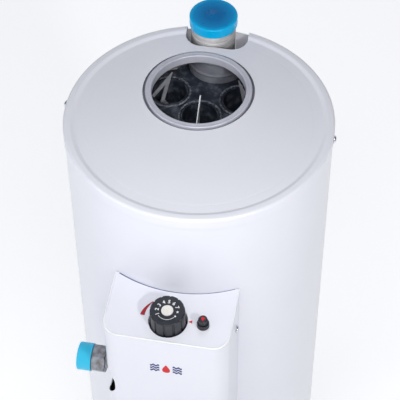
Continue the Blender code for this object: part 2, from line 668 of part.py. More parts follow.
def turbulator_strip():
    """A flat zigzag cut from sheet; its top leg hooks over on to the tube's rim."""
    hook = (-TUBE_R + TUBE_WALL / 2, SEAT + STRIP_W / 2 - STRIP_PROUD)
    bends = [(STRIP_SWING * (1, -1)[i % 2], -i * STRIP_FOLD) for i in range(1, STRIP_FOLDS + 1)]
    line = [Vector(point) for point in [hook, (0.0, 0.0)] + bends]
    mesh = bmesh.new()
    face = mesh.faces.new([mesh.verts.new((x, -STRIP_T / 2, z)) for x, z in ribbon(line, STRIP_W)])
    grown = bmesh.ops.extrude_face_region(mesh, geom=[face])
    back = [item for item in grown["geom"] if isinstance(item, bmesh.types.BMVert)]
    bmesh.ops.translate(mesh, verts=back, vec=(0.0, STRIP_T, 0.0))
    bmesh.ops.recalc_face_normals(mesh, faces=mesh.faces)
    return mesh


def ribbon(line, wide):
    """Outline of a zigzag strip: its centre line set off to both sides by half its width."""
    steps = [(b - a).normalized() for a, b in zip(line, line[1:])]
    sides = []
    for point, before, after in zip(line, steps[:1] + steps, steps + steps[-1:]):
        normal = Vector((-before.y - after.y, before.x + after.x)).normalized()
        reach = wide / 2 / normal.dot(Vector((-before.y, before.x)))
        sides.append((point + normal * reach, point - normal * reach))
    return [left for left, right in sides] + [right for left, right in reversed(sides)]


# ---- flue -----------------------------------------------------------------
def make_hood(finish):
    low = PLATE_TOP + SEAT
    wall = [(0.0, HOOD_TOP), (HOOD_R, HOOD_TOP), (HOOD_R, low), (HOOD_R - HOOD_WALL, low),
            (HOOD_R - HOOD_WALL, HOOD_TOP - HOOD_WALL), (0.0, HOOD_TOP - HOOD_WALL)]
    hood = add("draught_hood", turned(wall, SEG_SHELL), finish["grey"])
    neck = rod(FLUE_BORE_R + COLLAR_WALL + RUN, PLATE_TOP + STRIP_PROUD, LID_TOP, SEG_SHELL,
               centre=(FLUE_X, FLUE_Y))
    combine(hood, tool("hood_neck", neck))
    bay = rod(SHROUD_R + SEAT, PLATE_Z, LID_TOP, SEG_PIPE, centre=(SHROUD_X, SHROUD_Y))
    combine(hood, tool("shroud_bay", bay))


def make_shroud(finish):
    """Beaded half-round sheet that keeps the flue gas off the riser."""
    low, high = PLATE_TOP + SEAT, HOOD_TOP
    outer, inner = SHROUD_R - SHROUD_BEAD, SHROUD_R - SHROUD_BEAD - SHROUD_WALL
    outside = [(outer, high)]
    for z in (high - BEAD_FROM_TOP, low + BEAD_FROM_FOOT):
        outside += [(outer, z + BEAD_HALF), (SHROUD_R, z), (outer, z - BEAD_HALF)]
    outside += [(outer, low)]
    wall = outside + [(inner, low), (inner, high)]
    place = (SHROUD_X, SHROUD_Y, 0.0)
    shroud = add("riser_shroud", turned(wall, SEG_PIPE), finish["grey"], place)
    keep = rod(HOOD_R - HOOD_WALL - SEAT, PLATE_Z, LID_TOP, SEG_SHELL)
    combine(shroud, tool("hood_inside", keep), "INTERSECT")


def make_collar(finish):
    """Rolled collar that takes the flue pipe: bore, flat top and turned-down lip."""
    bore, top = FLUE_BORE_R, COLLAR_TOP
    wall, edge = COLLAR_WALL, COLLAR_EDGE
    low, lip_low = COLLAR_TOP - COLLAR_DEPTH, HOOD_TOP + SEAT
    section = [(bore, top - edge), (bore, low), (bore + wall, low), (bore + wall, top - 2 * wall),
               (COLLAR_LIP_R - 2 * wall, top - 2 * wall), (COLLAR_LIP_R - wall, top - 3 * wall),
               (COLLAR_LIP_R - wall, lip_low), (COLLAR_LIP_R, lip_low),
               (COLLAR_LIP_R, top - edge), (COLLAR_LIP_R - edge, top), (bore + edge, top)]
    add("flue_collar", turned(section, SEG_SHELL), finish["grey"], (FLUE_X, FLUE_Y, 0.0))


def make_draught_sensor(finish):
    """Overheat sensor on the hood's rear left, hung from the hood's top."""
    high = HOOD_TOP - HOOD_WALL - SEAT
    half = SENSOR_HALF
    body = block((-half, -SENSOR_T / 2, high - SENSOR_H), (half, SENSOR_T / 2, high))
    reach = FLUE_BORE_R + COLLAR_WALL + SENSOR_OUT
    place = (FLUE_X + reach * math.cos(SENSOR_AZ), FLUE_Y + reach * math.sin(SENSOR_AZ), 0.0)
    turn = SENSOR_AZ - math.pi / 2
    soften(add("draught_sensor", body, finish["cast"], place, (0.0, 0.0, turn)), SENSOR_T / 8)


# ---- water connections ----------------------------------------------------
def make_riser(finish):
    inner = PIPE_R - PIPE_WALL
    floor = RISER_BOTTOM + PIPE_WALL
    cup = [(0.0, RISER_BOTTOM), (PIPE_R, RISER_BOTTOM), (PIPE_R, RISER_TOP - PIPE_EDGE),
           (PIPE_R - PIPE_EDGE, RISER_TOP), (inner, RISER_TOP), (inner, floor), (0.0, floor)]
    place = (RISER_X, RISER_Y, 0.0)
    riser = add("outlet_riser", turned(cup, SEG_PIPE), finish["thread"], place)
    window = block((-inner / 2, -PIPE_R - SLEEVE, floor + WINDOW_SILL),
                   (inner / 2, -inner / 2, PLATE_Z - WINDOW_TOP))
    combine(riser, tool("riser_window", window, place))
    add("outlet_cap", end_cap(PIPE_R, PIPE_CAP_R, RISER_TOP, CAP_SKIRT), finish["blue"], place)


def end_cap(pipe_r, out_r, pipe_end, skirt):
    """A moulded cap over a pipe's end, with a small gate mark in its middle."""
    top = pipe_end + CAP_WALL
    low = top - skirt
    edge = CAP_EDGE
    section = [(0.0, top + GATE_H), (edge, top), (out_r - edge, top), (out_r, top - edge),
               (out_r - GATE_H, low), (pipe_r + RUN, low), (pipe_r + RUN, pipe_end + SEAT),
               (0.0, pipe_end + SEAT)]
    return turned(section, SEG_PIPE)


def make_return(finish):
    inner = PIPE_R - PIPE_WALL
    wall = [(PIPE_R, RETURN_START), (PIPE_R, RETURN_END - PIPE_EDGE),
            (PIPE_R - PIPE_EDGE, RETURN_END), (inner, RETURN_END), (inner, RETURN_START)]
    place = (0.0, 0.0, RETURN_Z)
    add("return_pipe", turned(wall, SEG_PIPE), finish["thread"], place, ALONG_Y)
    cap = end_cap(PIPE_R, PIPE_CAP_R, RETURN_END, CAP_SKIRT)
    add("return_cap", cap, finish["blue"], place, ALONG_Y)


# ---- control cover --------------------------------------------------------
def cover_outline(inset, back):
    """Plan of the cover from its rear left corner round the front, set in by inset."""
    half, front, corner = COVER_HALF - inset, COVER_Y + inset, COVER_CORNER - inset
    left = arc(-half + corner, front + corner, corner, 180.0, 270.0, 6)
    right = arc(half - corner, front + corner, corner, 270.0, 360.0, 6)
    return [(-half, back)] + left + right + [(half, back)]


def cover_body(inset, back, low):
    """The cover's plan carried up to its sloping top, lowered by inset."""
    mesh = prism(cover_outline(inset, back), low, low + MM)
    mesh.verts.ensure_lookup_table()
    for vert in mesh.verts:
        if vert.co.z > low + MM / 2:
            vert.co.z = COVER_TOP + (vert.co.y + JACKET_R) * TILT - inset / math.cos(COVER_TILT)
    return mesh


def make_cover(finish, tools, axis):
    back = -JACKET_R / 2
    shape = cover_body(0.0, back, COVER_BOTTOM)
    rim = [edge for edge in shape.edges
           if all(v.co.z > COVER_TOP / 2 for v in edge.verts)
           and any(v.co.y < back - MM for v in edge.verts)]
    bmesh.ops.bevel(shape, geom=rim, offset=COVER_EDGE, segments=2, profile=0.5, affect="EDGES")
    cover = add("control_cover", shape, finish["enamel"])
    hollow = cover_body(COVER_WALL, back + REACH, COVER_BOTTOM - REACH)
    combine(cover, tool("cover_hollow", hollow))
    combine(cover, tools["jacket_space"])
    reach = 2 * COVER_EDGE + KNOB_SUNK
    combine(cover, tool("knob_hole", rod(KNOB_R + KNOB_GAP, -reach, reach, SEG_PIPE), parent=axis))
    piezo = rod(PIEZO_BODY_R + RUN, -reach, reach, SEG_TUBE, centre=(PIEZO_X, 0.0))
    combine(cover, tool("piezo_hole", piezo, parent=axis))
    combine(cover, tools["cover_screw_hole"])
    combine(cover, tool("inlet_opening", inlet_opening(), (0, INLET_Y - CUT_AHEAD, INLET_Z + CUT_LIFT),
                        ALONG_LEFT))


def inlet_opening():
    """Long round-ended hole in the cover's left side, above and below the gas inlet."""
    upper = arc(CUT_LONG, 0.0, CUT_R, -90.0, 90.0, 8)
    lower = arc(-CUT_LONG, 0.0, CUT_R, 90.0, 270.0, 8)
    return prism(upper + lower, COVER_HALF - COVER_CORNER, COVER_HALF + COVER_CORNER)


def make_cover_fixings(finish, tools):
    inside = COVER_HALF - COVER_WALL - SEAT
    for side, name in ((-1, "left"), (1, "right")):
        make_bracket(f"cover_bracket_{name}", finish, tools, side, inside)
        turn = ALONG_X if side > 0 else ALONG_LEFT
        make_screw(f"cover_screw_{name}", finish, (0, -JACKET_R, COVER_SCREW_Z), turn,
                   COVER_HALF + SEAT, inside - 3 * BRACKET_T)


def make_bracket(name, finish, tools, side, inside):
    """Angle bracket: a leg inside the cover's wall and a foot along the jacket."""
    low, high = COVER_SCREW_Z - BRACKET_H / 2, COVER_SCREW_Z + BRACKET_H / 2
    leg = inside - BRACKET_T
    front = -JACKET_R - BRACKET_FOOT
    whole = block((leg - BRACKET_FOOT, front, low), (inside, -JACKET_R / 2, high))
    away = block((leg - 2 * BRACKET_FOOT, front - MM, low - MM), (leg, -JACKET_R / 2, high + MM))
    turn = (0, 0, 0)
    if side < 0:
        for shape in (whole, away):
            bmesh.ops.scale(shape, verts=shape.verts, vec=(-1, 1, 1))
            bmesh.ops.reverse_faces(shape, faces=shape.faces)
    bracket = add(name, whole, finish["chrome"])
    combine(bracket, tools["jacket_space"])
    clear = tool(f"{name}_clear", away)
    foot = rod(JACKET_R + RUN + BRACKET_T, low - 2 * MM, high + 2 * MM, SEG_CASE)
    combine(clear, tool(f"{name}_foot", foot))
    combine(bracket, clear)
    combine(bracket, tools["cover_screw_hole"])


# ---- gas valve and its knob -----------------------------------------------
def make_valve(finish, tools, axis):
    body = block((-VALVE_HALF, VALVE_FRONT, VALVE_BOTTOM), (VALVE_HALF, VALVE_REAR, VALVE_SHOULDER))
    valve = add("gas_valve_body", body, finish["cast"], parent=axis)
    bonnet = rod(BONNET_R, (VALVE_SHOULDER + VALVE_BOTTOM) / 2, VALVE_TOP, SEG_PIPE)
    combine(valve, tool("valve_bonnet", bonnet, parent=axis), "UNION")
    soften(valve, 2.0 * MM)
    bore = rod(SPINDLE_R + RUN, SPINDLE_END - 2 * PRESS_TRAVEL, VALVE_TOP + MM, SEG_TUBE)
    combine(valve, tool("spindle_bore", bore, parent=axis))
    middle = (VALVE_SHOULDER + VALVE_BOTTOM) / 2
    stand = block((-VALVE_HALF / 2, VALVE_REAR + SEAT, middle - BRACKET_H / 2),
                  (VALVE_HALF / 2, VALVE_REAR + VALVE_SPACE, middle + BRACKET_H / 2))
    bracket = add("valve_bracket", stand, finish["chrome"], parent=axis)
    combine(bracket, tools["jacket_space"])


def make_knob(finish, axis):
    low, high = -KNOB_SUNK, KNOB_H
    wall, edge = KNOB_WALL, KNOB_EDGE
    roof = high - 3 * wall
    section = [(SPINDLE_R + RUN, low + MM), (HUB_R, low + MM), (HUB_R, roof),
               (KNOB_TOP_R - 1.5 * wall, roof), (KNOB_R - wall, low), (KNOB_R, low),
               (KNOB_TOP_R, high - edge), (KNOB_TOP_R - edge, high), (DISC_R + RUN, high),
               (DISC_R + RUN, high - DISC_T), (SPINDLE_R + RUN, high - DISC_T)]
    knob = add("control_knob", turned(section, SEG_KNOB), finish["black"], parent=axis)
    grips = bmesh.new()
    lean = math.atan2(KNOB_R - KNOB_TOP_R, high - low)
    for i in range(KNOB_GRIPS):
        groove = rod(GRIP_R, low - wall, high + wall, 8)
        bmesh.ops.rotate(groove, verts=groove.verts, cent=(0, 0, high),
                         matrix=Matrix.Rotation(-lean, 3, "Y"))
        bmesh.ops.translate(groove, verts=groove.verts, vec=(KNOB_TOP_R, 0, 0))
        turn = Matrix.Rotation(2 * math.pi * i / KNOB_GRIPS, 3, "Z")
        bmesh.ops.rotate(groove, verts=groove.verts, cent=(0, 0, 0), matrix=turn)
        join_mesh(grips, groove)
    combine(knob, tool("knob_grips", grips, parent=axis))
    disc = [(0.0, high - DISC_T + SEAT), (DISC_R, high - DISC_T + SEAT), (DISC_R, high + SEAT),
            (DISC_R - 0.6 * MM, high + 2 * SEAT), (0.0, high + 2 * SEAT)]
    add("knob_disc", turned(disc, SEG_TUBE), finish["white"], parent=axis)
    spindle = rod(SPINDLE_R, SPINDLE_END, high - DISC_T, SEG_TUBE)
    add("control_spindle", spindle, finish["brass"], parent=axis)


def make_push_parts(finish, axis):
    """Collar that the knob's hub bears on, and the spring that lifts it."""
    top = -KNOB_SUNK + MM - SEAT
    ring = [(PUSH_R, top), (PUSH_R, top - PUSH_H), (SPINDLE_R + RUN, top - PUSH_H),
            (SPINDLE_R + RUN, top)]
    add("push_collar", turned(ring, SEG_TUBE), finish["white"], parent=axis)
    low = VALVE_TOP + SEAT + SPRING_WIRE
    high = top - PUSH_H - SEAT - SPRING_WIRE
    steps = SPRING_TURNS * 8
    coil = []
    for i in range(steps + 1):
        turn = 2 * math.pi * i / 8
        coil.append((SPRING_R * math.cos(turn), SPRING_R * math.sin(turn),
                     low + (high - low) * i / steps))
    pipe_along("knob_spring", coil, SPRING_WIRE, finish["chrome"], SPRING_R, 1, axis)


def make_piezo(finish, axis):
    bore, body = BUTTON_R + SEAT, PIEZO_BODY_R
    floor = BUTTON_TOP - BUTTON_LENGTH - BUTTON_TRAVEL - MM
    section = [(0.0, -PIEZO_DEPTH), (body, -PIEZO_DEPTH), (body, SEAT), (PIEZO_COLLAR_R, SEAT),
               (PIEZO_COLLAR_R, PIEZO_COLLAR_H - MM), (PIEZO_COLLAR_R - 0.5 * MM, PIEZO_COLLAR_H),
               (bore, PIEZO_COLLAR_H), (bore, floor), (0.0, floor)]
    place = (PIEZO_X, 0.0, 0.0)
    add("piezo_body", turned(section, SEG_TUBE), finish["black"], place, parent=axis)
    edge = 0.8 * MM
    button = [(0.0, BUTTON_TOP - BUTTON_LENGTH), (BUTTON_R, BUTTON_TOP - BUTTON_LENGTH),
              (BUTTON_R, BUTTON_TOP - edge), (BUTTON_R - edge, BUTTON_TOP), (0.0, BUTTON_TOP)]
    add("piezo_button", turned(button, SEG_TUBE), finish["black"], place, parent=axis)


# ---- gas inlet ------------------------------------------------------------
def make_inlet(finish):
    """Nipple, union nut and cap along the inlet's own axis, which points to the left."""
    place = (0.0, INLET_Y, INLET_Z)
    end = -INLET_X - CAP_WALL
    nut_out = end + CAP_WALL - INLET_CAP_L - SEAT
    nut_in = nut_out - NUT_L
    start = COVER_HALF - INLET_CAP_L
    edge = PIPE_EDGE
    section = [(0.0, start), (INLET_PIPE_R, start), (INLET_PIPE_R, nut_in - INLET_SHOULDER),
               (INLET_NECK_R, nut_in), (INLET_NECK_R, nut_out + SEAT), (INLET_THREAD_R, nut_out + SEAT),
               (INLET_THREAD_R, end - edge), (INLET_THREAD_R - edge, end), (INLET_PIPE_R, end),
               (INLET_PIPE_R, end - INLET_BORE_L), (0.0, end - INLET_BORE_L)]
    add("gas_inlet_nipple", turned(section, SEG_TUBE), finish["zinc"], place, ALONG_LEFT)
    nut = add("gas_inlet_nut", rod(NUT_FLATS / math.sqrt(3.0), nut_in + SEAT, nut_out, 6),
              finish["zinc"], place, ALONG_LEFT)
    bore = rod(INLET_NECK_R + RUN, nut_in - SLEEVE, nut_out + SLEEVE, SEG_TUBE)
    combine(nut, tool("nut_bore", bore, place, ALONG_LEFT))
    cap_r = INLET_THREAD_R + INLET_CAP_SIDE
    cap = end_cap(INLET_THREAD_R, cap_r, end, INLET_CAP_L - SEAT)
    add("gas_inlet_cap", cap, finish["blue"], place, ALONG_LEFT)
    radius = INLET_PIPE_R - SEAT
    rise_x, rise_y = -VALVE_HALF / 2, INLET_Y - INLET_PIPE_R / 2
    top = valve_foot(rise_y, radius)
    bend = [(-start + SLEEVE, INLET_Y, INLET_Z), (-start + 2 * radius, INLET_Y, INLET_Z),
            (rise_x - radius, INLET_Y, INLET_Z + radius / 4),
            (rise_x, rise_y, INLET_Z + 1.5 * radius), (rise_x, rise_y, top - radius),
            (rise_x, rise_y, top)]
    pipe_along("inlet_elbow", bend, radius, finish["zinc"], radius)


def valve_foot(y, radius):
    """Height at which an upright pipe of that radius ends, just under the tilted valve."""
    along = VALVE_BOTTOM + (y - KNOB_Y) * math.sin(COVER_TILT)
    return KNOB_Z + along / math.cos(COVER_TILT) - radius * TILT - SEAT


# ---- burner, pilot and their lines ----------------------------------------
def make_burner(finish):
    tray = add("burner_tray", rod(TRAY_R, BASE_H + SEAT, BASE_H + SEAT + TRAY_T, SEG_SHELL),
               finish["grey"])
    combine(tray, tool("tray_holes", tray_holes()))
    low, high = BURNER_Z, BURNER_Z + BURNER_H
    shoulder, dish = 0.4 * BURNER_H, high - BURNER_H / 4
    drum = [(0.0, low), (BURNER_R * 0.7, low), (BURNER_R, low + shoulder),
            (BURNER_R, high - BURNER_H / 8), (BURNER_R - BURNER_H / 4, high),
            (BURNER_R * 0.45, high), (BURNER_R * 0.4, dish), (0.0, dish)]
    add("main_burner", turned(drum, SEG_PIPE), finish["iron"])
    top = BURNER_Z - SEAT
    route = [(0, MIXER_MOUTH, MIXER_Z), (0, MIXER_MOUTH / 2, MIXER_Z), (0, -MIXER_R, MIXER_Z + LINE_R),
             (0, 0, MIXER_Z + MIXER_R), (0, 0, (MIXER_Z + MIXER_R + top) / 2), (0, 0, top)]
    pipe_along("mixer_tube", route, MIXER_R, finish["iron"], 0.6 * MIXER_R, 3)
    out = -MIXER_MOUTH + ORIFICE_GAP
    jet_r = FEED_R + SLEEVE
    jet = [(0.0, out), (jet_r / 3, out), (jet_r, out + ORIFICE_GAP), (jet_r, out + ORIFICE_L),
           (0.0, out + ORIFICE_L)]
    add("burner_orifice", turned(jet, SEG_SMALL), finish["brass"], (0, 0, MIXER_Z), ALONG_FRONT)


def tray_holes():
    """The mixer's hole, a slot for the pilot and its probes, and a ring of air holes."""
    holes = rod(MIXER_R + 3 * SLEEVE, MIXER_Z, BURNER_Z, SEG_TUBE)
    reach = PROBE_STEP + PILOT_R
    join_mesh(holes, block((-reach, PILOT_Y - TRAY_HOLE_R, MIXER_Z),
                           (reach, PILOT_Y + TRAY_HOLE_R, BURNER_Z)))
    for i in range(TRAY_HOLES):
        turn = math.radians(-90.0 + (i + 1.5) * 360.0 / (TRAY_HOLES + 2))
        rod(TRAY_HOLE_R, MIXER_Z, BURNER_Z, 8, holes,
            (-PILOT_Y * math.cos(turn), -PILOT_Y * math.sin(turn)))
    return holes


def make_lines(finish):
    """Gas, pilot, thermocouple and spark lines from the valve down into the base."""
    front = -JACKET_R - LINE_OUT
    drop = COVER_BOTTOM + REACH
    step = 6 * FEED_R
    feed_y = front + FEED_R
    top = valve_foot(feed_y, FEED_R)
    start = MIXER_MOUTH - ORIFICE_GAP - ORIFICE_L - SEAT
    feed = [(FEED_X, feed_y, top), (FEED_X, feed_y, top - step), (FEED_X, feed_y, drop),
            (FEED_X - FEED_R, feed_y + FEED_R, MIXER_Z + 4 * FEED_R),
            (FEED_R, feed_y + step, MIXER_Z), (0, start - 2 * FEED_R, MIXER_Z),
            (0, start - FEED_R, MIXER_Z), (0, start, MIXER_Z)]
    pipe_along("burner_feed_pipe", feed, FEED_R, finish["copper"], 4 * FEED_R)
    for name, radius, x, end_x in (("pilot_tube", LINE_R, PILOT_X, 0.0),
                                   ("thermocouple", THERMO_R, THERMO_X, -PROBE_STEP)):
        top = valve_foot(front, radius)
        upper = [(x, front, top), (x, front, top - step), (x, front, drop)]
        tip = [(end_x, PILOT_Y, PILOT_TOP + 2 * LINE_R)] if name == "thermocouple" else []
        pipe_along(name, upper + into_base(x, end_x) + tip, radius, finish["copper"], 4 * FEED_R, 1)
    tail = PIEZO_DEPTH * math.sin(COVER_TILT) + KNOB_Y
    low = KNOB_Z - PIEZO_DEPTH * math.cos(COVER_TILT) - SLEEVE
    lead_x = VALVE_HALF + LEAD_GAP
    upper = [(PIEZO_X, tail, low), (PIEZO_X, tail, low - FEED_R), (lead_x, tail, low - step),
             (lead_x, front, drop)]
    spark = upper + into_base(2 * PROBE_STEP, PROBE_STEP)
    pipe_along("ignition_lead", spark, LINE_R, finish["lead"], 4 * FEED_R, 1)


def into_base(outside, inside):
    """The last stretch of a line: in at the opening, then straight up to the pilot."""
    under = DOOR_HIGH - 3 * LINE_R
    rise = PILOT_FOOT - SEAT - under
    turn_in = [(outside, -JACKET_R - LINE_OUT + 2 * FEED_R, under + 6 * LINE_R),
               (outside, -JACKET_R + FEED_R, under),
               (inside, PILOT_Y - 6 * LINE_R, under + LINE_R / 2)]
    return turn_in + [(inside, PILOT_Y, under + rise * share) for share in (0.4, 0.7, 1.0)]


def make_pilot(finish):
    low, high, thick = PILOT_FOOT, PILOT_TOP, PILOT_R / 4
    stem, lip = PILOT_R - thick, high - PILOT_R
    head = [(0.0, low), (stem, low), (stem, lip - thick), (PILOT_R, lip), (PILOT_R, high),
            (PILOT_R / 2, high), (PILOT_R / 2, lip + thick), (0.0, lip + thick)]
    add("pilot_burner", turned(head, SEG_SMALL), finish["brass"], (0.0, PILOT_Y, 0.0))
    wire = PILOT_R / 5
    rod_top = [(0.0, low), (3 * wire, low), (3 * wire, lip - thick), (wire, lip), (wire, high),
               (0.0, high)]
    add("spark_electrode", turned(rod_top, SEG_SMALL), finish["ceramic"], (PROBE_STEP, PILOT_Y, 0.0))


# ---- thermostat probe -----------------------------------------------------
def make_probe(finish):
    """Closed pocket in the water, with the valve's sensing bulb and capillary in it."""
    place = (POCKET_X, 0.0, POCKET_Z)
    inner, out = -POCKET_IN, -POCKET_OUT
    bore = BULB_R + SLEEVE
    floor = inner + POCKET_END
    sleeve = [(0.0, inner), (POCKET_R, inner), (POCKET_R, out), (bore, out), (bore, floor),
              (0.0, floor)]
    add("sensor_pocket", turned(sleeve, SEG_SMALL), finish["brass"], place, ALONG_FRONT)
    step = 2 * BULB_R
    turn_y = POCKET_OUT - step
    line = [(POCKET_X, POCKET_IN - step, POCKET_Z), (POCKET_X, POCKET_OUT + 2 * step, POCKET_Z),
            (POCKET_X, turn_y, POCKET_Z), (POCKET_X, turn_y - step, POCKET_Z + step),
            (POCKET_X, turn_y - step, POCKET_Z + 2 * step),
            (POCKET_X, turn_y - step, valve_foot(turn_y - step, CAPILLARY_R))]
    capillary = pipe_along("sensor_capillary", line, CAPILLARY_R, finish["copper"], step, 1)
    for point in capillary.data.splines[0].points:
        if point.co.y > POCKET_OUT + step:
            point.radius = BULB_R / CAPILLARY_R


def main():
    for old in list(bpy.data.objects):
        bpy.data.objects.remove(old, do_unlink=True)
    finish = make_materials()
    tools = make_tools()
    axis = empty("control_axis", (0.0, KNOB_Y, KNOB_Z), (COVER_TILT, 0.0, 0.0))
    flap_axis = empty("flap_axis", (0.0, 0.0, FLAP_PIN_Z), (math.radians(90.0), 0.0, FLAP_AZ))
    make_base(finish, flap_axis)
    make_sight_flap(finish, flap_axis)
    make_jacket(finish, tools)
    make_lid(finish, tools)
    make_blanket(finish, tools)
    make_shell(finish, tools)
    make_firebox(finish, tools)
    make_top_plate(finish, tools)
    make_fire_tubes(finish)
    make_hood(finish)
    make_shroud(finish)
    make_collar(finish)
    make_draught_sensor(finish)
    make_riser(finish)
    make_return(finish)
    make_cover(finish, tools, axis)
    make_cover_fixings(finish, tools)
    make_valve(finish, tools, axis)
    make_knob(finish, axis)
    make_push_parts(finish, axis)
    make_piezo(finish, axis)
    make_inlet(finish)
    make_burner(finish)
    make_lines(finish)
    make_pilot(finish)
    make_probe(finish)


main()
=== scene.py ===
"""Looks of the floor-standing gas water heater: enamelled casing, flue collar, capped pipes, controls.

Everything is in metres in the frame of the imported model: +Z up, front towards -Y, floor at Z 0.
"""
import json
from math import asin, atan, atan2, copysign, cos, exp, hypot, pi, radians, sin, sqrt, tan

import bmesh
import bpy
from mathutils import Matrix, Vector


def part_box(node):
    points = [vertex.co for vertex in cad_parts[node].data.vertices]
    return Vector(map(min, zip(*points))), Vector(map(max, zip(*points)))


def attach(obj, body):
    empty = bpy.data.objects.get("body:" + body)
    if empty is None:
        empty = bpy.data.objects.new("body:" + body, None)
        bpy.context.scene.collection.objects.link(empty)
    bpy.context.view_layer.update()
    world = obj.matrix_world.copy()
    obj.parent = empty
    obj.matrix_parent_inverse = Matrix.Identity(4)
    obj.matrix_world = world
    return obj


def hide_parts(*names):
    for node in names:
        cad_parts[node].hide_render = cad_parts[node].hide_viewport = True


MM = 0.001
UP = Vector((0.0, 0.0, 1.0))
ALONG_X = Matrix.Rotation(radians(90.0), 4, "Y")
ALONG_LEFT = Matrix.Rotation(radians(-90.0), 4, "Y")
ALONG_Y = Matrix.Rotation(radians(-90.0), 4, "X")
ALONG_FRONT = Matrix.Rotation(radians(90.0), 4, "X")
FINE = 224                 # steps round a casing
ROUND = 128                # steps round a pipe or a knob
SMALL = 48                 # steps round a small piece
SCREW_BORE_R = 2.4 * MM
PIPE_WALL = 3.2 * MM
CAP_SKIRT = 13.0 * MM
PIPE_PITCH, PIPE_GROOVE = 2.31 * MM, 1.1 * MM      # thread of the water pipes
GAS_PITCH, GAS_GROOVE = 1.81 * MM, 0.9 * MM        # thread of the gas nipple
GAS_PIPE_R = 13.2 * MM
SHROUD_SHIFT = 5.8 * MM    # the riser's shroud and the lid's notch lie this far right of it
BASE_OPEN_R = 112.0 * MM   # the plinth's top ring ends here

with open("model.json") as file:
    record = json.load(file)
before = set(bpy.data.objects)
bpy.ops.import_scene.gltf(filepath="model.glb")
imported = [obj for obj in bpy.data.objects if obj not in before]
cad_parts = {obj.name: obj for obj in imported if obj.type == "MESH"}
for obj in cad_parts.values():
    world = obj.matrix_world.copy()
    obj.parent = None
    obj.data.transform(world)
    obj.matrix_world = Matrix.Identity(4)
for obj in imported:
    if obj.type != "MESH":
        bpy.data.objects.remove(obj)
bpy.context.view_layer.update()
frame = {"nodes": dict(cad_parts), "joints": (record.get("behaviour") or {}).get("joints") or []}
joints = {joint["name"]: joint for joint in frame["joints"]}


# ---- places read from the frame ----
def middle(node):
    low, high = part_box(node)
    return (low + high) / 2.0


def half_width(node):
    low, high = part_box(node)
    return (high.x - low.x) / 2.0


def span(node, axis=2):
    """Lowest and highest place of a node along an axis, which is Z unless it is given."""
    low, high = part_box(node)
    return low[axis], high[axis]


def at(x, y, z):
    return Matrix.Translation((x, y, z))


def about_z(angle):
    return Matrix.Rotation(angle, 4, "Z")


JACKET_R = half_width("jacket")
LID_R = half_width("lid")
LID_FOOT, LID_TOP = span("lid")
JACKET_LOW, JACKET_HIGH = span("jacket")
FLUE = middle("flue_collar")
COLLAR_LOW, COLLAR_TOP = span("flue_collar")
COLLAR_R = half_width("flue_collar")
BORE_R = COLLAR_R - 7.6 * MM
RISER = middle("outlet_riser")
RISER_FOOT, RISER_TOP = span("outlet_riser")
PIPE_R = half_width("outlet_riser")
RETURN = middle("return_pipe")
RETURN_NEAR, RETURN_END = span("return_pipe", 1)
HOOD_LOW, HOOD_TOP = span("draught_hood")
PLATE_TOP = span("top_tube_plate")[1]
HOOD_R = half_width("draught_hood")
COVER_LOW, COVER_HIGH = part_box("control_cover")
COVER_HALF = half_width("control_cover")
CONTROL = Vector(joints["knob_turn"]["pos_m"])
CONTROL_UP = Vector(joints["knob_turn"]["axis"]).normalized()
TILT = atan2(-CONTROL_UP.y, CONTROL_UP.z)
CONTROL_FRAME = Matrix.Translation(CONTROL) @ Matrix.Rotation(TILT, 4, "X")
PIEZO_X = middle("piezo_button").x
INLET = middle("gas_inlet_nut")
SCREW_Z = middle("cover_screw_right").z
LID_SCREW_Z = middle("lid_screw_right").z
FLAP_PIN = Vector(joints["sight_flap_swing"]["pos_m"])


# ---- materials ----
def new_material(name):
    made = bpy.data.materials.new(name)
    made.use_nodes = True
    tree = made.node_tree
    return made, tree, tree.nodes["Principled BSDF"]


def settle(made, values):
    """Sets constant values on a node's inputs."""
    for key, value in values.items():
        made.inputs[key].default_value = value


def node(tree, kind, **values):
    made = tree.nodes.new("ShaderNode" + kind)
    for key, value in values.items():
        if key in made.inputs:
            made.inputs[key].default_value = value
        else:
            setattr(made, key, value)
    return made


def coords(tree):
    return node(tree, "TexCoord").outputs["Object"]


def noise(tree, scale, detail=3.0, rough=0.5, vector=None):
    made = node(tree, "TexNoise", Scale=scale, Detail=detail, Roughness=rough)
    tree.links.new(vector or coords(tree), made.inputs["Vector"])
    return made.outputs["Fac"]


def ramp(tree, fac, stops):
    made = node(tree, "ValToRGB")
    made.color_ramp.elements[0].position = stops[0][0]
    made.color_ramp.elements[0].color = (*stops[0][1], 1.0)
    made.color_ramp.elements[1].position = stops[-1][0]
    made.color_ramp.elements[1].color = (*stops[-1][1], 1.0)
    for place, colour in stops[1:-1]:
        made.color_ramp.elements.new(place).color = (*colour, 1.0)
    tree.links.new(fac, made.inputs["Fac"])
    return made.outputs["Color"]


def spread(tree, fac, low, high):
    made = node(tree, "MapRange")
    settle(made, {"To Min": low, "To Max": high})
    tree.links.new(fac, made.inputs["Value"])
    return made.outputs["Result"]


def bump(tree, shader, height, strength, distance):
    made = node(tree, "Bump", Strength=strength, Distance=distance)
    tree.links.new(height, made.inputs["Height"])
    tree.links.new(made.outputs["Normal"], shader.inputs["Normal"])


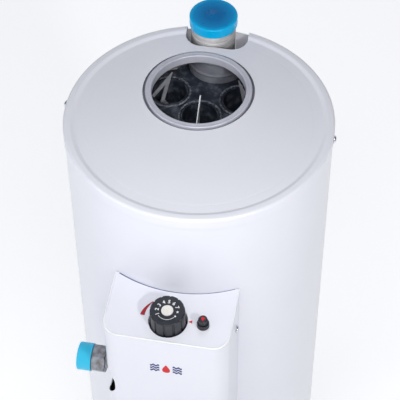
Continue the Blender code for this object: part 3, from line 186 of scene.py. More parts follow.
def mottled(name, colours, scale, roughness, metallic=0.0, grain=900.0, relief=0.03,
            stretch=None, coat=0.0):
    """A finish whose colour wanders between its colours, with a fine grain in its surface."""
    made, tree, shader = new_material(name)
    place = coords(tree)
    if stretch:
        mapping = node(tree, "Mapping")
        settle(mapping, {"Scale": stretch})
        tree.links.new(place, mapping.inputs["Vector"])
        place = mapping.outputs["Vector"]
    cloud = noise(tree, scale, 4.0, 0.6, place)
    steps = [(0.3 + 0.4 * i / (len(colours) - 1), c) for i, c in enumerate(colours)]
    tree.links.new(ramp(tree, cloud, steps), shader.inputs["Base Color"])
    tree.links.new(spread(tree, cloud, *roughness), shader.inputs["Roughness"])
    settle(shader, {"Metallic": metallic})
    if coat:
        settle(shader, {"Coat Weight": coat, "Coat Roughness": 0.12})
    bump(tree, shader, noise(tree, grain, 2.0, 0.5, place), relief, 0.3 * MM)
    return made


def cap_material(name, centre, middle_colour, rim, axis, reach):
    """Clear-blue polythene with painted light: painted shade at the centre, where the dark bore would show
    through, and a painted glow towards its rim.
    """
    made, tree, shader = new_material(name)
    place = coords(tree)
    shift = node(tree, "Mapping")
    settle(shift, {"Location": (-axis[0], -axis[1], -axis[2])})
    tree.links.new(place, shift.inputs["Vector"])
    flat = node(tree, "VectorMath", operation="MULTIPLY")
    settle(flat, {1: reach})
    tree.links.new(shift.outputs["Vector"], flat.inputs[0])
    length = node(tree, "VectorMath", operation="LENGTH")
    tree.links.new(flat.outputs["Vector"], length.inputs[0])
    cloud = noise(tree, 90.0, 3.0)
    wander = spread(tree, cloud, -0.07, 0.07)
    total = node(tree, "Math", operation="ADD")
    tree.links.new(length.outputs["Value"], total.inputs[0])
    tree.links.new(wander, total.inputs[1])
    # colour ramp by distance from the pipe's axis: painted shade at the centre, painted glow towards the
    # rim
    colour = ramp(tree, total.outputs["Value"], [(0.35, centre), (0.80, middle_colour), (0.97, rim)])
    tree.links.new(colour, shader.inputs["Base Color"])
    tree.links.new(spread(tree, cloud, 0.24, 0.34), shader.inputs["Roughness"])
    settle(shader, {"Specular IOR Level": 0.3, "Subsurface Weight": 0.12,
                    "Subsurface Radius": (0.1, 0.8, 1.0), "Subsurface Scale": 3.0 * MM})
    bump(tree, shader, noise(tree, 700.0, 2.0), 0.04, 0.3 * MM)
    return made


def make_materials():
    return {
        "enamel": mottled("white_enamel", [(0.78, 0.79, 0.865), (0.815, 0.825, 0.895)], 5.0,
                          (0.30, 0.36), grain=420.0, relief=0.035, coat=0.25),
        "base": mottled("base_paint", [(0.045, 0.048, 0.055), (0.07, 0.073, 0.08)], 30.0,
                        (0.42, 0.55), grain=600.0, relief=0.08),
        "collar": mottled("collar_steel", [(0.50, 0.51, 0.59), (0.60, 0.61, 0.69)], 25.0,
                          (0.30, 0.42), 0.15, 300.0, 0.06),
        "sheet": mottled("hood_sheet", [(0.24, 0.25, 0.30), (0.38, 0.39, 0.45)], 45.0,
                         (0.35, 0.55), 0.35, 260.0, 0.15),
        "shell": mottled("boiler_plate", [(0.012, 0.016, 0.027), (0.030, 0.038, 0.056),
                                          (0.13, 0.145, 0.18)], 90.0, (0.42, 0.65), 0.2, 500.0, 0.7),
        "weld": mottled("weld_bead", [(0.03, 0.035, 0.05), (0.12, 0.13, 0.16), (0.36, 0.38, 0.42)], 420.0,
                        (0.4, 0.7), 0.3, 700.0, 0.8),
        "strip": mottled("turbulator_strip", [(0.33, 0.34, 0.38), (0.50, 0.51, 0.56)], 120.0,
                         (0.35, 0.5), 0.3, 500.0, 0.2),
        "thread": mottled("pipe_zinc", [(0.30, 0.29, 0.29), (0.44, 0.43, 0.44), (0.60, 0.585, 0.58)],
                          120.0, (0.4, 0.6), 0.12, 900.0, 0.12, (0.35, 0.35, 4.0)),
        # the caps' colours carry painted shade over the bore and a painted glow at the rim
        "riser_blue": cap_material("riser_polythene", (0.0, 0.16, 0.44), (0.0, 0.27, 0.63),
                                   (0.0, 0.44, 0.82), (RISER.x, RISER.y, 0.0), (34.0, 34.0, 0.0)),
        "return_blue": cap_material("return_polythene", (0.0, 0.13, 0.37), (0.0, 0.24, 0.58),
                                    (0.0, 0.44, 0.82), (RETURN.x, 0.0, RETURN.z), (34.0, 0.0, 34.0)),
        "inlet_blue": cap_material("inlet_polythene", (0.0, 0.26, 0.56), (0.01, 0.38, 0.68),
                                   (0.045, 0.55, 0.82), (0.0, INLET.y, INLET.z), (0.0, 57.0, 57.0)),
        "black": mottled("knob_plastic", [(0.010, 0.012, 0.019), (0.018, 0.021, 0.030)], 220.0,
                         (0.32, 0.44), 0.0, 1600.0, 0.10),
        "ivory": mottled("insert_plastic", [(0.70, 0.68, 0.64), (0.80, 0.78, 0.74)], 400.0,
                         (0.45, 0.6), 0.0, 1500.0, 0.2),
        "cast": mottled("cast_aluminium", [(0.36, 0.37, 0.39), (0.52, 0.53, 0.55)], 80.0,
                        (0.42, 0.6), 0.85, 700.0, 0.25),
        "zinc": mottled("zinc_plate", [(0.24, 0.20, 0.17), (0.38, 0.39, 0.43), (0.52, 0.55, 0.60)],
                        150.0, (0.28, 0.5), 0.8, 700.0, 0.3),
        "chrome": mottled("bright_screw", [(0.62, 0.64, 0.70), (0.78, 0.79, 0.84)], 300.0,
                          (0.14, 0.24), 1.0, 900.0, 0.05),
        "wool": mottled("mineral_wool", [(0.42, 0.35, 0.20), (0.62, 0.55, 0.36)], 140.0,
                        (0.9, 1.0), 0.0, 500.0, 1.0),
        "iron": mottled("cast_iron", [(0.035, 0.035, 0.04), (0.08, 0.075, 0.07)], 90.0,
                        (0.6, 0.8), 0.5, 600.0, 0.5),
        "brass": mottled("brass", [(0.55, 0.37, 0.13), (0.72, 0.52, 0.22)], 150.0, (0.25, 0.4), 1.0),
        "copper": mottled("copper", [(0.48, 0.20, 0.11), (0.70, 0.34, 0.20)], 60.0, (0.25, 0.42), 1.0),
        "lead": mottled("silicone_lead", [(0.34, 0.035, 0.03), (0.45, 0.06, 0.05)], 120.0, (0.5, 0.65)),
        "ceramic": mottled("ceramic", [(0.74, 0.71, 0.66), (0.86, 0.84, 0.80)], 250.0, (0.25, 0.4)),
        "red": mottled("red_ink", [(0.34, 0.006, 0.02), (0.42, 0.010, 0.028)], 300.0, (0.4, 0.5)),
        "bright_red": mottled("red_mark", [(0.60, 0.004, 0.010), (0.68, 0.008, 0.016)], 300.0, (0.5, 0.6)),
        "navy": mottled("blue_ink", [(0.004, 0.015, 0.15), (0.008, 0.025, 0.20)], 300.0, (0.5, 0.6)),
        # dark bluish paint that stands for the shadow in the joint above the cover
        "gap": mottled("joint_shadow", [(0.07, 0.09, 0.22), (0.12, 0.14, 0.30)], 300.0, (0.6, 0.8)),
        # whiter and glossier than the enamel: a painted highlight along the cover's rim bead
        "painted_highlight_edging": mottled("rim_edging_painted_highlight", [(0.86, 0.865, 0.90), (0.90, 0.905, 0.93)], 60.0,
                          (0.22, 0.30), 0.0, 600.0, 0.02, coat=0.5),
        "white_ink": mottled("white_ink", [(0.74, 0.75, 0.78), (0.84, 0.85, 0.87)], 300.0, (0.45, 0.55)),
        "putty": mottled("flue_sealant", [(0.42, 0.40, 0.36), (0.62, 0.60, 0.55)], 160.0,
                         (0.7, 0.9), 0.0, 400.0, 0.6),
    }


finish = make_materials()


# ---- mesh tools ----
def placed(name, data):
    made = bpy.data.objects.new(name, data)
    bpy.context.scene.collection.objects.link(made)
    return made


def piece(name, mesh, material, place=None, stands_for=None, sharp=32.0, body="heater"):
    """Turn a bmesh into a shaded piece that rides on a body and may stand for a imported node."""
    data = bpy.data.meshes.new(name)
    if place is not None:
        mesh.transform(place)
    bmesh.ops.recalc_face_normals(mesh, faces=mesh.faces)
    mesh.to_mesh(data)
    mesh.free()
    data.shade_smooth()
    data.set_sharp_from_angle(angle=radians(sharp))
    data.materials.append(finish[material])
    made = placed(name, data)
    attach(made, body)
    if stands_for:
        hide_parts(stands_for)
    return made


def lathe(profile, steps=ROUND):
    """A (radius, height) outline turned about Z; it is closed where it starts off the axis."""
    mesh = bmesh.new()
    verts = [mesh.verts.new((r, 0.0, z)) for r, z in profile]
    pairs = list(zip(verts, verts[1:]))
    if profile[0][0] > 0.0:
        pairs.append((verts[-1], verts[0]))
    edges = [mesh.edges.new(pair) for pair in pairs]
    bmesh.ops.spin(mesh, geom=verts + edges, cent=(0, 0, 0), axis=UP, dvec=(0, 0, 0),
                   angle=2.0 * pi, steps=steps)
    bmesh.ops.remove_doubles(mesh, verts=mesh.verts, dist=0.001 * MM)
    bmesh.ops.recalc_face_normals(mesh, faces=mesh.faces)
    return mesh


def arc(cx, cy, radius, start, end, steps):
    angles = [radians(start + (end - start) * i / steps) for i in range(steps + 1)]
    return [(cx + radius * cos(a), cy + radius * sin(a)) for a in angles]


def prism(outline, low, high):
    mesh = bmesh.new()
    face = mesh.faces.new([mesh.verts.new((x, y, low)) for x, y in outline])
    grown = bmesh.ops.extrude_face_region(mesh, geom=[face])
    top = [item for item in grown["geom"] if isinstance(item, bmesh.types.BMVert)]
    bmesh.ops.translate(mesh, verts=top, vec=(0.0, 0.0, high - low))
    bmesh.ops.recalc_face_normals(mesh, faces=mesh.faces)
    return mesh


def block(low, high):
    mesh = bmesh.new()
    low, high = Vector(low), Vector(high)
    place = Matrix.Translation((low + high) / 2.0) @ Matrix.Diagonal((*(high - low), 1.0))
    bmesh.ops.create_cube(mesh, size=1.0, matrix=place)
    return mesh


def rod(radius, low, high, steps=ROUND, centre=(0.0, 0.0)):
    mesh = bmesh.new()
    place = at(centre[0], centre[1], (low + high) / 2.0)
    bmesh.ops.create_cone(mesh, cap_ends=True, segments=steps, radius1=radius,
                          radius2=radius, depth=high - low, matrix=place)
    return mesh


def joined(*meshes):
    """Several bmeshes as one."""
    whole = meshes[0]
    for other in meshes[1:]:
        data = bpy.data.meshes.new("joined")
        other.to_mesh(data)
        other.free()
        whole.from_mesh(data)
        bpy.data.meshes.remove(data)
    return whole


def carved(mesh, cutters, operation="DIFFERENCE"):
    """The bmesh with each (bmesh, place) cutter taken out of it."""
    data = bpy.data.meshes.new("carved")
    mesh.to_mesh(data)
    mesh.free()
    target = placed("carved", data)
    for cutter, place in cutters:
        cut_data = bpy.data.meshes.new("cutter")
        if place is not None:
            cutter.transform(place)
        cutter.to_mesh(cut_data)
        cutter.free()
        cut = placed("cutter", cut_data)
        change = target.modifiers.new("cut", "BOOLEAN")
        change.operation = operation
        change.solver = "EXACT"
        change.object = cut
        graph = bpy.context.evaluated_depsgraph_get()
        result = bpy.data.meshes.new_from_object(target.evaluated_get(graph))
        target.modifiers.clear()
        target.data = result
        bpy.data.objects.remove(cut)
    made = bmesh.new()
    made.from_mesh(target.data)
    bpy.data.objects.remove(target)
    return made


def weigh_normals(made):
    """Flat faces keep flat shading beside their rounded edges."""
    even = made.modifiers.new("even_shading", "WEIGHTED_NORMAL")
    even.keep_sharp = True
    even.weight = 90


def skin(mesh, rings, loop=False, capped=True):
    """Faces from each ring of vertices to the next; loop joins the last ring to the first."""
    for here, there in zip(rings, rings[1:] + rings[:1] if loop else rings[1:]):
        for j in range(len(here)):
            k = (j + 1) % len(here)
            mesh.faces.new((here[j], here[k], there[k], there[j]))
    if capped:
        mesh.faces.new(rings[0])
        mesh.faces.new(rings[-1])


def oval(mesh, centre, out, wide, high, sides):
    """Ring of vertices round a centre, wide along the vector out and high along Z."""
    turns = [2 * pi * j / sides for j in range(sides)]
    return [mesh.verts.new(centre + out * wide * cos(turn) + UP * high * sin(turn))
            for turn in turns]


def open_plan(centre, half, front, corner, back):
    """Plan outline with a straight back and two round front corners."""
    left = arc(centre - half + corner, front + corner, corner, 180.0, 270.0, 16)
    right = arc(centre + half - corner, front + corner, corner, 270.0, 360.0, 16)
    return [(centre - half, back)] + left + right + [(centre + half, back)]


def screw_bore(half, y, z):
    """Cutter, with its place, for the pair of screws that face left and right."""
    bore = rod(SCREW_BORE_R, -half - 5 * MM, half + 5 * MM, 24)
    return bore, at(0, y, z) @ ALONG_X


def threaded(radius, low, high, pitch, depth, steps=96):
    """A screw thread's outer face, which fades out at both ends, with its first and last ring."""
    mesh = bmesh.new()
    levels = max(2, round((high - low) / pitch * 8))
    rings = []
    for i in range(levels + 1):
        z = low + (high - low) * i / levels
        fade = min(1.0, (z - low) / (2.0 * pitch), (high - z) / (0.5 * pitch))
        ring = []
        for j in range(steps):
            turn = j / steps
            phase = ((z - low) / pitch - turn) % 1.0
            tooth = 1.0 - abs(2.0 * phase - 1.0)
            r = radius - depth * max(0.0, fade) * (1.0 - tooth)
            angle = 2.0 * pi * turn
            ring.append(mesh.verts.new((r * cos(angle), r * sin(angle), z)))
        rings.append(ring)
    skin(mesh, rings, capped=False)
    return mesh, rings[0], rings[-1]


# ---- casing ----
def lid_section():
    """Pressed lid: crowned plateau, soft step up to a rounded bead, rolled skirt."""
    wall, fillet, flat, slope = 0.8 * MM, 3.5 * MM, 4.2 * MM, 6.5 * MM
    bead = LID_R - fillet - flat
    plateau = bead - slope
    rise, crown, groove = 2.5 * MM, 0.8 * MM, 135.4 * MM
    low = LID_TOP - rise

    def ease(t):
        return (plateau + slope * t, low + rise * t * t * (3 - 2 * t))

    top = [(plateau * k, low + crown * (1 - k * k)) for k in (0.0, 0.2, 0.4, 0.6, 0.8, 0.9)]
    ring = [(groove - wall, low + 0.26 * MM), (groove, low + 0.02 * MM), (groove + wall, low + 0.24 * MM)]
    step = [ease(i / 8) for i in range(9)]
    outer = arc(LID_R - fillet, LID_TOP - fillet, fillet, 90.0, 0.0, 8)
    inner = arc(LID_R - fillet, LID_TOP - fillet, fillet - wall, 0.0, 90.0, 5)
    hem = [(LID_R, LID_FOOT + 0.5 * MM), (LID_R - 0.3 * MM, LID_FOOT),
           (LID_R - wall + 0.1 * MM, LID_FOOT), (LID_R - wall, LID_FOOT + 0.5 * MM)]
    under = [(r, z - wall) for r, z in (ease(1.0), ease(0.5), ease(0.0))]
    return top + ring + step + outer + hem + inner + under + [(0.0, low + crown - wall)]


def notch_plan():
    """Plan of the notch round the outlet pipe, open to the rear."""
    half, front, corner = PIPE_R + 11.0 * MM, RISER.y - PIPE_R - MM, 20.0 * MM
    return open_plan(RISER.x + SHROUD_SHIFT, half, front, corner, LID_R + PIPE_R)


def make_lid():
    deep, high = LID_FOOT - 10 * MM, LID_TOP + 10 * MM
    hole = rod(COLLAR_R + 3.0 * MM, deep, high, 192, (FLUE.x, FLUE.y))
    cut = carved(lathe(lid_section(), FINE), [
        (hole, None), (prism(notch_plan(), deep, high), None), screw_bore(LID_R, 0, LID_SCREW_Z)])
    weigh_normals(piece("lid_shell", cut, "enamel", stands_for="lid", sharp=28.0))


def make_jacket():
    """Rolled sheet, cut for the outlet and return pipes, the sensor pocket and the lid's screws."""
    wall = 1.0 * MM
    high, low = JACKET_HIGH, JACKET_LOW
    section = [(JACKET_R - 0.3 * MM, high), (JACKET_R, high - 0.4 * MM)]
    section += [(JACKET_R, high + (low - high) * i / 8) for i in range(1, 8)]
    section += [(JACKET_R, low), (JACKET_R - wall, low), (JACKET_R - wall, high)]
    slot = rod(PIPE_R + 0.4 * MM, RISER_FOOT - 3.0 * MM, high + 5 * MM, ROUND, (RISER.x, RISER.y))
    back = at(RETURN.x, 0, RETURN.z) @ ALONG_Y
    pocket = at(middle("sensor_pocket").x, 0, middle("sensor_pocket").z) @ ALONG_FRONT
    cut = carved(lathe(section, FINE), [
        (slot, None), (rod(PIPE_R + MM, RETURN_NEAR, RETURN_END), back),
        (rod(8.0 * MM, JACKET_R / 2, JACKET_R + 10 * MM, SMALL), pocket),
        screw_bore(LID_R, 0, LID_SCREW_Z)])
    piece("jacket_sheet", cut, "enamel", stands_for="jacket")


def make_seam():
    """Folded lock seam of the jacket, off to the rear left."""
    azimuth, half, flat, proud, sunk = radians(128.0), 5.5 * MM, 4.5 * MM, 0.9 * MM, -0.4 * MM
    mesh = prism([(-half, 0.0), (-flat, proud), (flat, proud), (half, 0.0), (half, sunk), (-half, sunk)],
                 JACKET_LOW + 2 * MM, LID_FOOT - 2 * MM)
    turn = about_z(azimuth - pi / 2) @ at(0, JACKET_R, 0)
    piece("jacket_seam", mesh, "enamel", turn)


def base_section():
    wall, edge = 2.0 * MM, 3.0 * MM
    high = span("base_pan")[1]
    foot = arc(JACKET_R - edge, edge, edge, -90.0, 0.0, 6)
    rim = arc(JACKET_R - MM, high - MM, MM, 0.0, 90.0, 4)
    return [(0.0, 0.0)] + foot + [(JACKET_R, 30 * MM), (JACKET_R, 60 * MM)] + rim + [
        (BASE_OPEN_R, high), (BASE_OPEN_R, high - wall), (JACKET_R - wall, high - wall),
        (JACKET_R - wall, wall), (0.0, wall)]


def rounded_plate(width, height, corner, depth_low, depth_high, steps=6):
    """A plate with round corners in its own XY plane."""
    reach_x, reach_y = width / 2 - corner, height / 2 - corner
    outline = []
    for cx, cy, start in ((reach_x, reach_y, 0.0), (-reach_x, reach_y, 90.0),
                          (-reach_x, -reach_y, 180.0), (reach_x, -reach_y, 270.0)):
        outline += arc(cx, cy, corner, start, start + 90.0, steps)
    return prism(outline, depth_low, depth_high)


def make_base():
    """Plinth with rounded air slots, the burner opening and the sight hole behind its flap."""
    cutters = []
    inside, outside = JACKET_R - 8 * MM, JACKET_R + 2 * MM
    slot_z, slot_pitch, slots_each_side = 37 * MM, radians(36.0), 3
    door_z, sight_r, sight_drop, pin_r = 62 * MM, 8 * MM, 18 * MM, 2.9 * MM
    for i in range(-slots_each_side, slots_each_side + 1):
        turn = about_z(pi + i * slot_pitch)
        place = turn @ at(0, 0, slot_z) @ ALONG_FRONT
        cutters.append((rounded_plate(44 * MM, 30 * MM, 6 * MM, inside, outside), place))
    door = at(0, 0, door_z) @ ALONG_FRONT
    cutters.append((rounded_plate(90 * MM, 44 * MM, 5 * MM, BASE_OPEN_R, outside), door))
    azimuth = atan2(FLAP_PIN.x, -FLAP_PIN.y)
    flap = at(0, 0, FLAP_PIN.z) @ about_z(azimuth) @ ALONG_FRONT
    cutters.append((rod(sight_r, inside, outside, SMALL, (0, -sight_drop)), flap))
    cutters.append((rod(pin_r, inside, outside, 24), flap))
    piece("plinth", carved(lathe(base_section(), FINE), cutters), "base", stands_for="base_pan")


# ---- flue ----
def make_collar():
    """Rolled collar: rounded inner lip, flat ring with a faint drawn groove, turned-down edge."""
    wall, soft = 1.0 * MM, 1.4 * MM
    top = COLLAR_TOP
    inner = arc(BORE_R + soft, top - soft, soft, 180.0, 90.0, 6)
    groove = [(BORE_R + 3.4 * MM, top), (BORE_R + 3.8 * MM, top - 0.25 * MM), (BORE_R + 4.2 * MM, top)]
    outer = arc(COLLAR_R - soft, top - soft, soft, 90.0, 0.0, 6)
    lip_low = HOOD_TOP + 0.3 * MM
    section = [(BORE_R, COLLAR_LOW)] + inner + groove + outer + [
        (COLLAR_R, lip_low), (COLLAR_R - wall, lip_low), (COLLAR_R - wall, top - 2.5 * MM),
        (COLLAR_R - 2 * wall, top - 2 * wall), (BORE_R + wall, top - 2 * wall), (BORE_R + wall, COLLAR_LOW)]
    piece("collar_ring", lathe(section, 192), "collar",
          at(FLUE.x, FLUE.y, 0), "flue_collar", sharp=40.0)


def make_shroud():
    """Half-round sheet round the riser inside the hood, with two pressed beads."""
    low, high = span("riser_shroud")
    centre = Vector((RISER.x + SHROUD_SHIFT, RISER.y - 2.0 * MM, 0.0))
    beads, bead_out, bead_reach, steps = (high - 14 * MM, low + 12 * MM), 1.2 * MM, 1.7 * MM, 40
    outer = centre.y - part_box("riser_shroud")[0].y - bead_out
    outside = []
    for step in range(steps + 1):
        z = high + (low - high) * step / steps
        rise = max(exp(-((z - bead) / bead_reach) ** 2) for bead in beads)
        outside.append((outer + bead_out * rise, z))
    inside = [(r - 1.0 * MM, z) for r, z in reversed(outside)]
    keep = rod(HOOD_R - 1.3 * MM, low - 5 * MM, high + 5 * MM, 192)
    turned = lathe(outside + inside, ROUND)
    turned.transform(Matrix.Translation(centre))
    piece("shroud_sheet", carved(turned, [(keep, None)], "INTERSECT"), "sheet",
          stands_for="riser_shroud", sharp=50.0)


def make_weld_rings():
    """Uneven weld bead round each fire tube where it stands out of the top plate."""
    steps, sides, wide, high = 96, 8, 1.5 * MM, 1.35 * MM
    for number in range(1, 7):
        centre = middle(f"fire_tube_{number}")
        radius = half_width(f"fire_tube_{number}") + 1.9 * MM
        mesh = bmesh.new()
        rings = []
        for i in range(steps):
            turn = 2 * pi * i / steps
            wobble = 0.35 * MM * sin(17 * turn + number) + 0.25 * MM * sin(29 * turn)
            out = Vector((cos(turn), sin(turn), 0.0))
            heart = out * radius + UP * (PLATE_TOP + 1.75 * MM)
            rings.append(oval(mesh, heart, out, wide + wobble / 2, high + wobble / 2, sides))
        skin(mesh, rings, loop=True, capped=False)
        place = at(centre.x, centre.y, 0.0)
        piece(f"tube_weld_{number}", mesh, "weld", place, sharp=80.0)


# ---- pipes and caps ----
def pipe_shell(radius, inner, low, high, thread_from, floor=None):
    """A pipe along Z, threaded from thread_from to its end; with a floor it is shut below that."""
    mesh, foot, head = threaded(radius, thread_from, high, PIPE_PITCH, PIPE_GROOVE)
    steps = len(foot)

    def circle(r, z):
        return [mesh.verts.new((r * cos(2 * pi * j / steps),
                                r * sin(2 * pi * j / steps), z)) for j in range(steps)]

    rings = [head, circle(inner, high), circle(inner, floor if floor else low)]
    if floor:
        mesh.faces.new(rings[-1])
        last = [circle(radius, low), foot]
        mesh.faces.new(last[0])
        chains = [rings, last]
    else:
        chains = [rings + [circle(radius, low), foot]]
    for chain in chains:
        skin(mesh, chain, capped=False)
    return mesh


def cap_section(pipe_r, out_r, pipe_end, skirt):
    """Moulded cap: gate mark, soft edge, faintly waisted side and a thin hem."""
    top, soft = pipe_end + 1.5 * MM, 2.0 * MM
    low = top - skirt
    gate = [(0.0, top + 0.28 * MM), (0.9 * MM, top + 0.25 * MM), (1.5 * MM, top)]
    face = [(out_r * 0.45, top), (out_r * 0.8, top)]
    edge = arc(out_r - soft, top - soft, soft, 90.0, 0.0, 8)
    side = [(out_r - 0.15 * MM, low + 0.8 * skirt * k) for k in (0.9, 0.6, 0.3)]
    hem = [(out_r, low + 1.2 * MM), (out_r - 0.1 * MM, low + 0.3 * MM), (out_r - 0.4 * MM, low),
           (pipe_r + 0.6 * MM, low), (pipe_r + 0.4 * MM, low + 0.4 * MM)]
    return gate + face + edge + side + hem + [(pipe_r + 0.4 * MM, pipe_end + 0.3 * MM),
                                              (0.0, pipe_end + 0.3 * MM)]


def make_outlet():
    """Riser shut at its foot, with the window that lets water in from the boiler, and its cap."""
    low, inner = RISER_FOOT, PIPE_R - PIPE_WALL
    place = at(RISER.x, RISER.y, 0)
    shell = pipe_shell(PIPE_R, inner, low, RISER_TOP, LID_TOP - 5.0 * MM, low + PIPE_WALL)
    window = block((-inner / 2, -PIPE_R - MM, low + 9.2 * MM), (inner / 2, -inner / 2, HOOD_LOW - 23 * MM))
    piece("outlet_pipe", carved(shell, [(window, None)]), "thread", place,
          "outlet_riser", sharp=50.0)
    cap = lathe(cap_section(PIPE_R, half_width("outlet_cap"), RISER_TOP, CAP_SKIRT))
    piece("outlet_cap_shell", cap, "riser_blue", place, "outlet_cap", body="outlet_plug")


def make_return():
    place = at(RETURN.x, 0, RETURN.z) @ ALONG_Y
    shell = pipe_shell(PIPE_R, PIPE_R - PIPE_WALL, RETURN_NEAR, RETURN_END, JACKET_R + 4 * MM)
    piece("return_stub", shell, "thread", place, "return_pipe", sharp=50.0)
    cap = lathe(cap_section(PIPE_R, half_width("return_cap"), RETURN_END, CAP_SKIRT))
    piece("return_cap_shell", cap, "return_blue", place, "return_cap", body="return_plug")


# ---- control cover ----
RIM_OUT = 1.0 * MM         # the rolled rim stands this far out of the cover's walls
COVER_CORNER = 20.0 * MM
KNOB_HOLE_R, IGNITER_HOLE_R = 22.95 * MM, 6.7 * MM
SLOT_R, SLOT_HALF = 27 * MM, 5 * MM                # half width of the gas opening, half its straight
SLOT_AHEAD, SLOT_LIFT = 18 * MM, 14 * MM           # its centre from the hexagon's


def cover_plan(inset, back):
    return open_plan(0.0, COVER_HALF - inset, COVER_LOW.y + inset, COVER_CORNER - inset, back)


def cover_top(y):
    """Height of the cover's sloping top plate at that y."""
    return CONTROL.z + (y - CONTROL.y) * tan(TILT)


def cover_block(inset, drop, back, low):
    mesh = prism(cover_plan(inset, back), low, low + MM)
    for vert in mesh.verts:
        if vert.co.z > low + MM / 2:
            vert.co.z = cover_top(vert.co.y) - drop
    return mesh


def inlet_slot():
    """Cutter, with its place, for the long opening in the left wall that reaches the round corner."""
    ends = arc(SLOT_HALF, 0.0, SLOT_R, -90.0, 90.0, 32) + arc(-SLOT_HALF, 0.0, SLOT_R, 90.0, 270.0, 32)
    place = at(0, INLET.y - SLOT_AHEAD, INLET.z + SLOT_LIFT) @ ALONG_LEFT
    return prism(ends, COVER_HALF - COVER_CORNER, COVER_HALF + COVER_CORNER), place


def make_cover():
    """Folded cover with a soft top edge, cut to the jacket and its controls; the inside of its round front
    corners is near-black, as primer and as painted shade seen through the gas opening.
    """
    back, sheet, through = -JACKET_R / 2, MM, 9 * MM
    shape = cover_block(RIM_OUT, 0.0, back, COVER_LOW.z)
    rim = [edge for edge in shape.edges
           if all(v.co.z > COVER_HIGH.z / 2 for v in edge.verts)
           and any(v.co.y < back - MM for v in edge.verts)]
    bmesh.ops.bevel(shape, geom=rim, offset=1.6 * MM, segments=4, profile=0.5, affect="EDGES")
    hollow = cover_block(RIM_OUT + sheet, sheet, back + 30 * MM, COVER_LOW.z - 30 * MM)
    cut = carved(shape, [
        (hollow, None), (rod(JACKET_R + 0.4 * MM, 0.0, LID_TOP, FINE), None),
        (rod(KNOB_HOLE_R, -through, through, ROUND), CONTROL_FRAME),
        (rod(IGNITER_HOLE_R, -through, through, SMALL, (PIEZO_X, 0.0)), CONTROL_FRAME),
        screw_bore(COVER_HALF, -JACKET_R, SCREW_Z), inlet_slot()])
    made = piece("cover_shell", cut, "enamel", stands_for="control_cover", sharp=40.0)
    # near-black plinth paint on the inside of the round front corners: primer, and painted shade seen
    # through the gas opening
    made.data.materials.append(finish["base"])
    reach = COVER_CORNER - RIM_OUT - sheet / 2
    for face in made.data.polygons:
        x, y = abs(face.center.x), face.center.y
        side = max(0.0, x - COVER_HALF + COVER_CORNER)
        ahead = max(0.0, COVER_LOW.y + COVER_CORNER - y)
        if hypot(side, ahead) < reach and face.center.z < cover_top(y) - sheet / 2:
            face.material_index = 1
    weigh_normals(made)


def make_rim_bead():
    """Rolled bead round the front and sides of the sloping top, in a whiter, glossier finish that paints on
    the highlight it catches.
    """
    front_r, side_r, inset, sides = 1.45 * MM, 0.7 * MM, 1.45 * MM, 12
    spacing, full_y, taper = 6 * MM, 26 * MM, 12 * MM
    mesh = bmesh.new()
    side_y = -sqrt(JACKET_R ** 2 - COVER_HALF ** 2) - 2.0 * MM
    plan = [Vector((x, y, 0.0)) for x, y in cover_plan(inset, side_y)]
    line = []
    for a, b in zip(plan, plan[1:]):
        steps = max(1, round((b - a).length / spacing))
        line += [a + (b - a) * i / steps for i in range(steps)]
    line.append(plan[-1])
    heart = Vector((0.0, COVER_LOW.y + 30 * MM, 0.0))
    rings = []
    for i, spot in enumerate(line):
        before, after = line[max(0, i - 1)], line[min(len(line) - 1, i + 1)]
        side = (after - before).normalized().cross(UP).normalized()
        share = min(1.0, max(0.0, (COVER_LOW.y + full_y - spot.y) / taper))
        radius = side_r + (front_r - side_r) * share
        centre = Vector((spot.x, spot.y, cover_top(spot.y) - 0.5 * radius))
        centre += side * (inset - radius) * copysign(1.0, side.dot(spot - heart))
        rings.append(oval(mesh, centre, side, radius, radius, sides))
    skin(mesh, rings)
    piece("cover_rim_bead", mesh, "painted_highlight_edging", sharp=60.0)


def make_cover_gap():
    """Painted shadow: a dark bluish strip in the joint between the cover's top and the jacket, wider
    towards its left end.
    """
    half = asin((COVER_HALF - 6 * MM) / JACKET_R)
    near, sunk, proud, steps = 0.05 * MM, -0.7 * MM, 0.12 * MM, 64
    mesh = bmesh.new()
    rings = []
    for i in range(steps + 1):
        turn = -half + 2 * half * i / steps
        # the painted shadow widens towards the left end
        wide = (0.55 + 0.75 * (1.0 - i / steps) ** 1.5) * MM
        ring = []
        for out, lift in ((near, sunk), (wide, sunk), (wide, proud), (near, proud)):
            r = JACKET_R + out
            y = -r * cos(turn)
            ring.append(mesh.verts.new((r * sin(turn), y, cover_top(y) + lift)))
        rings.append(ring)
    skin(mesh, rings)
    piece("cover_joint_shadow_strip", mesh, "gap")


# ---- knob, igniter and marks on the cover ----
KNOB_LOW, KNOB_H, KNOB_R, KNOB_TOP_R = -3.0 * MM, 22.5 * MM, 21.75 * MM, 20.4 * MM
KNOB_FACE = KNOB_H - 0.3 * MM                      # the dished face that carries the figures
KNOB_GRIPS = 12
MARK_H = 0.16 * MM
FIGURE_R, FIGURE_H = 11.9 * MM, 6.2 * MM
END_MARK_R = 12.0 * MM
BADGE_Z = 656.0 * MM


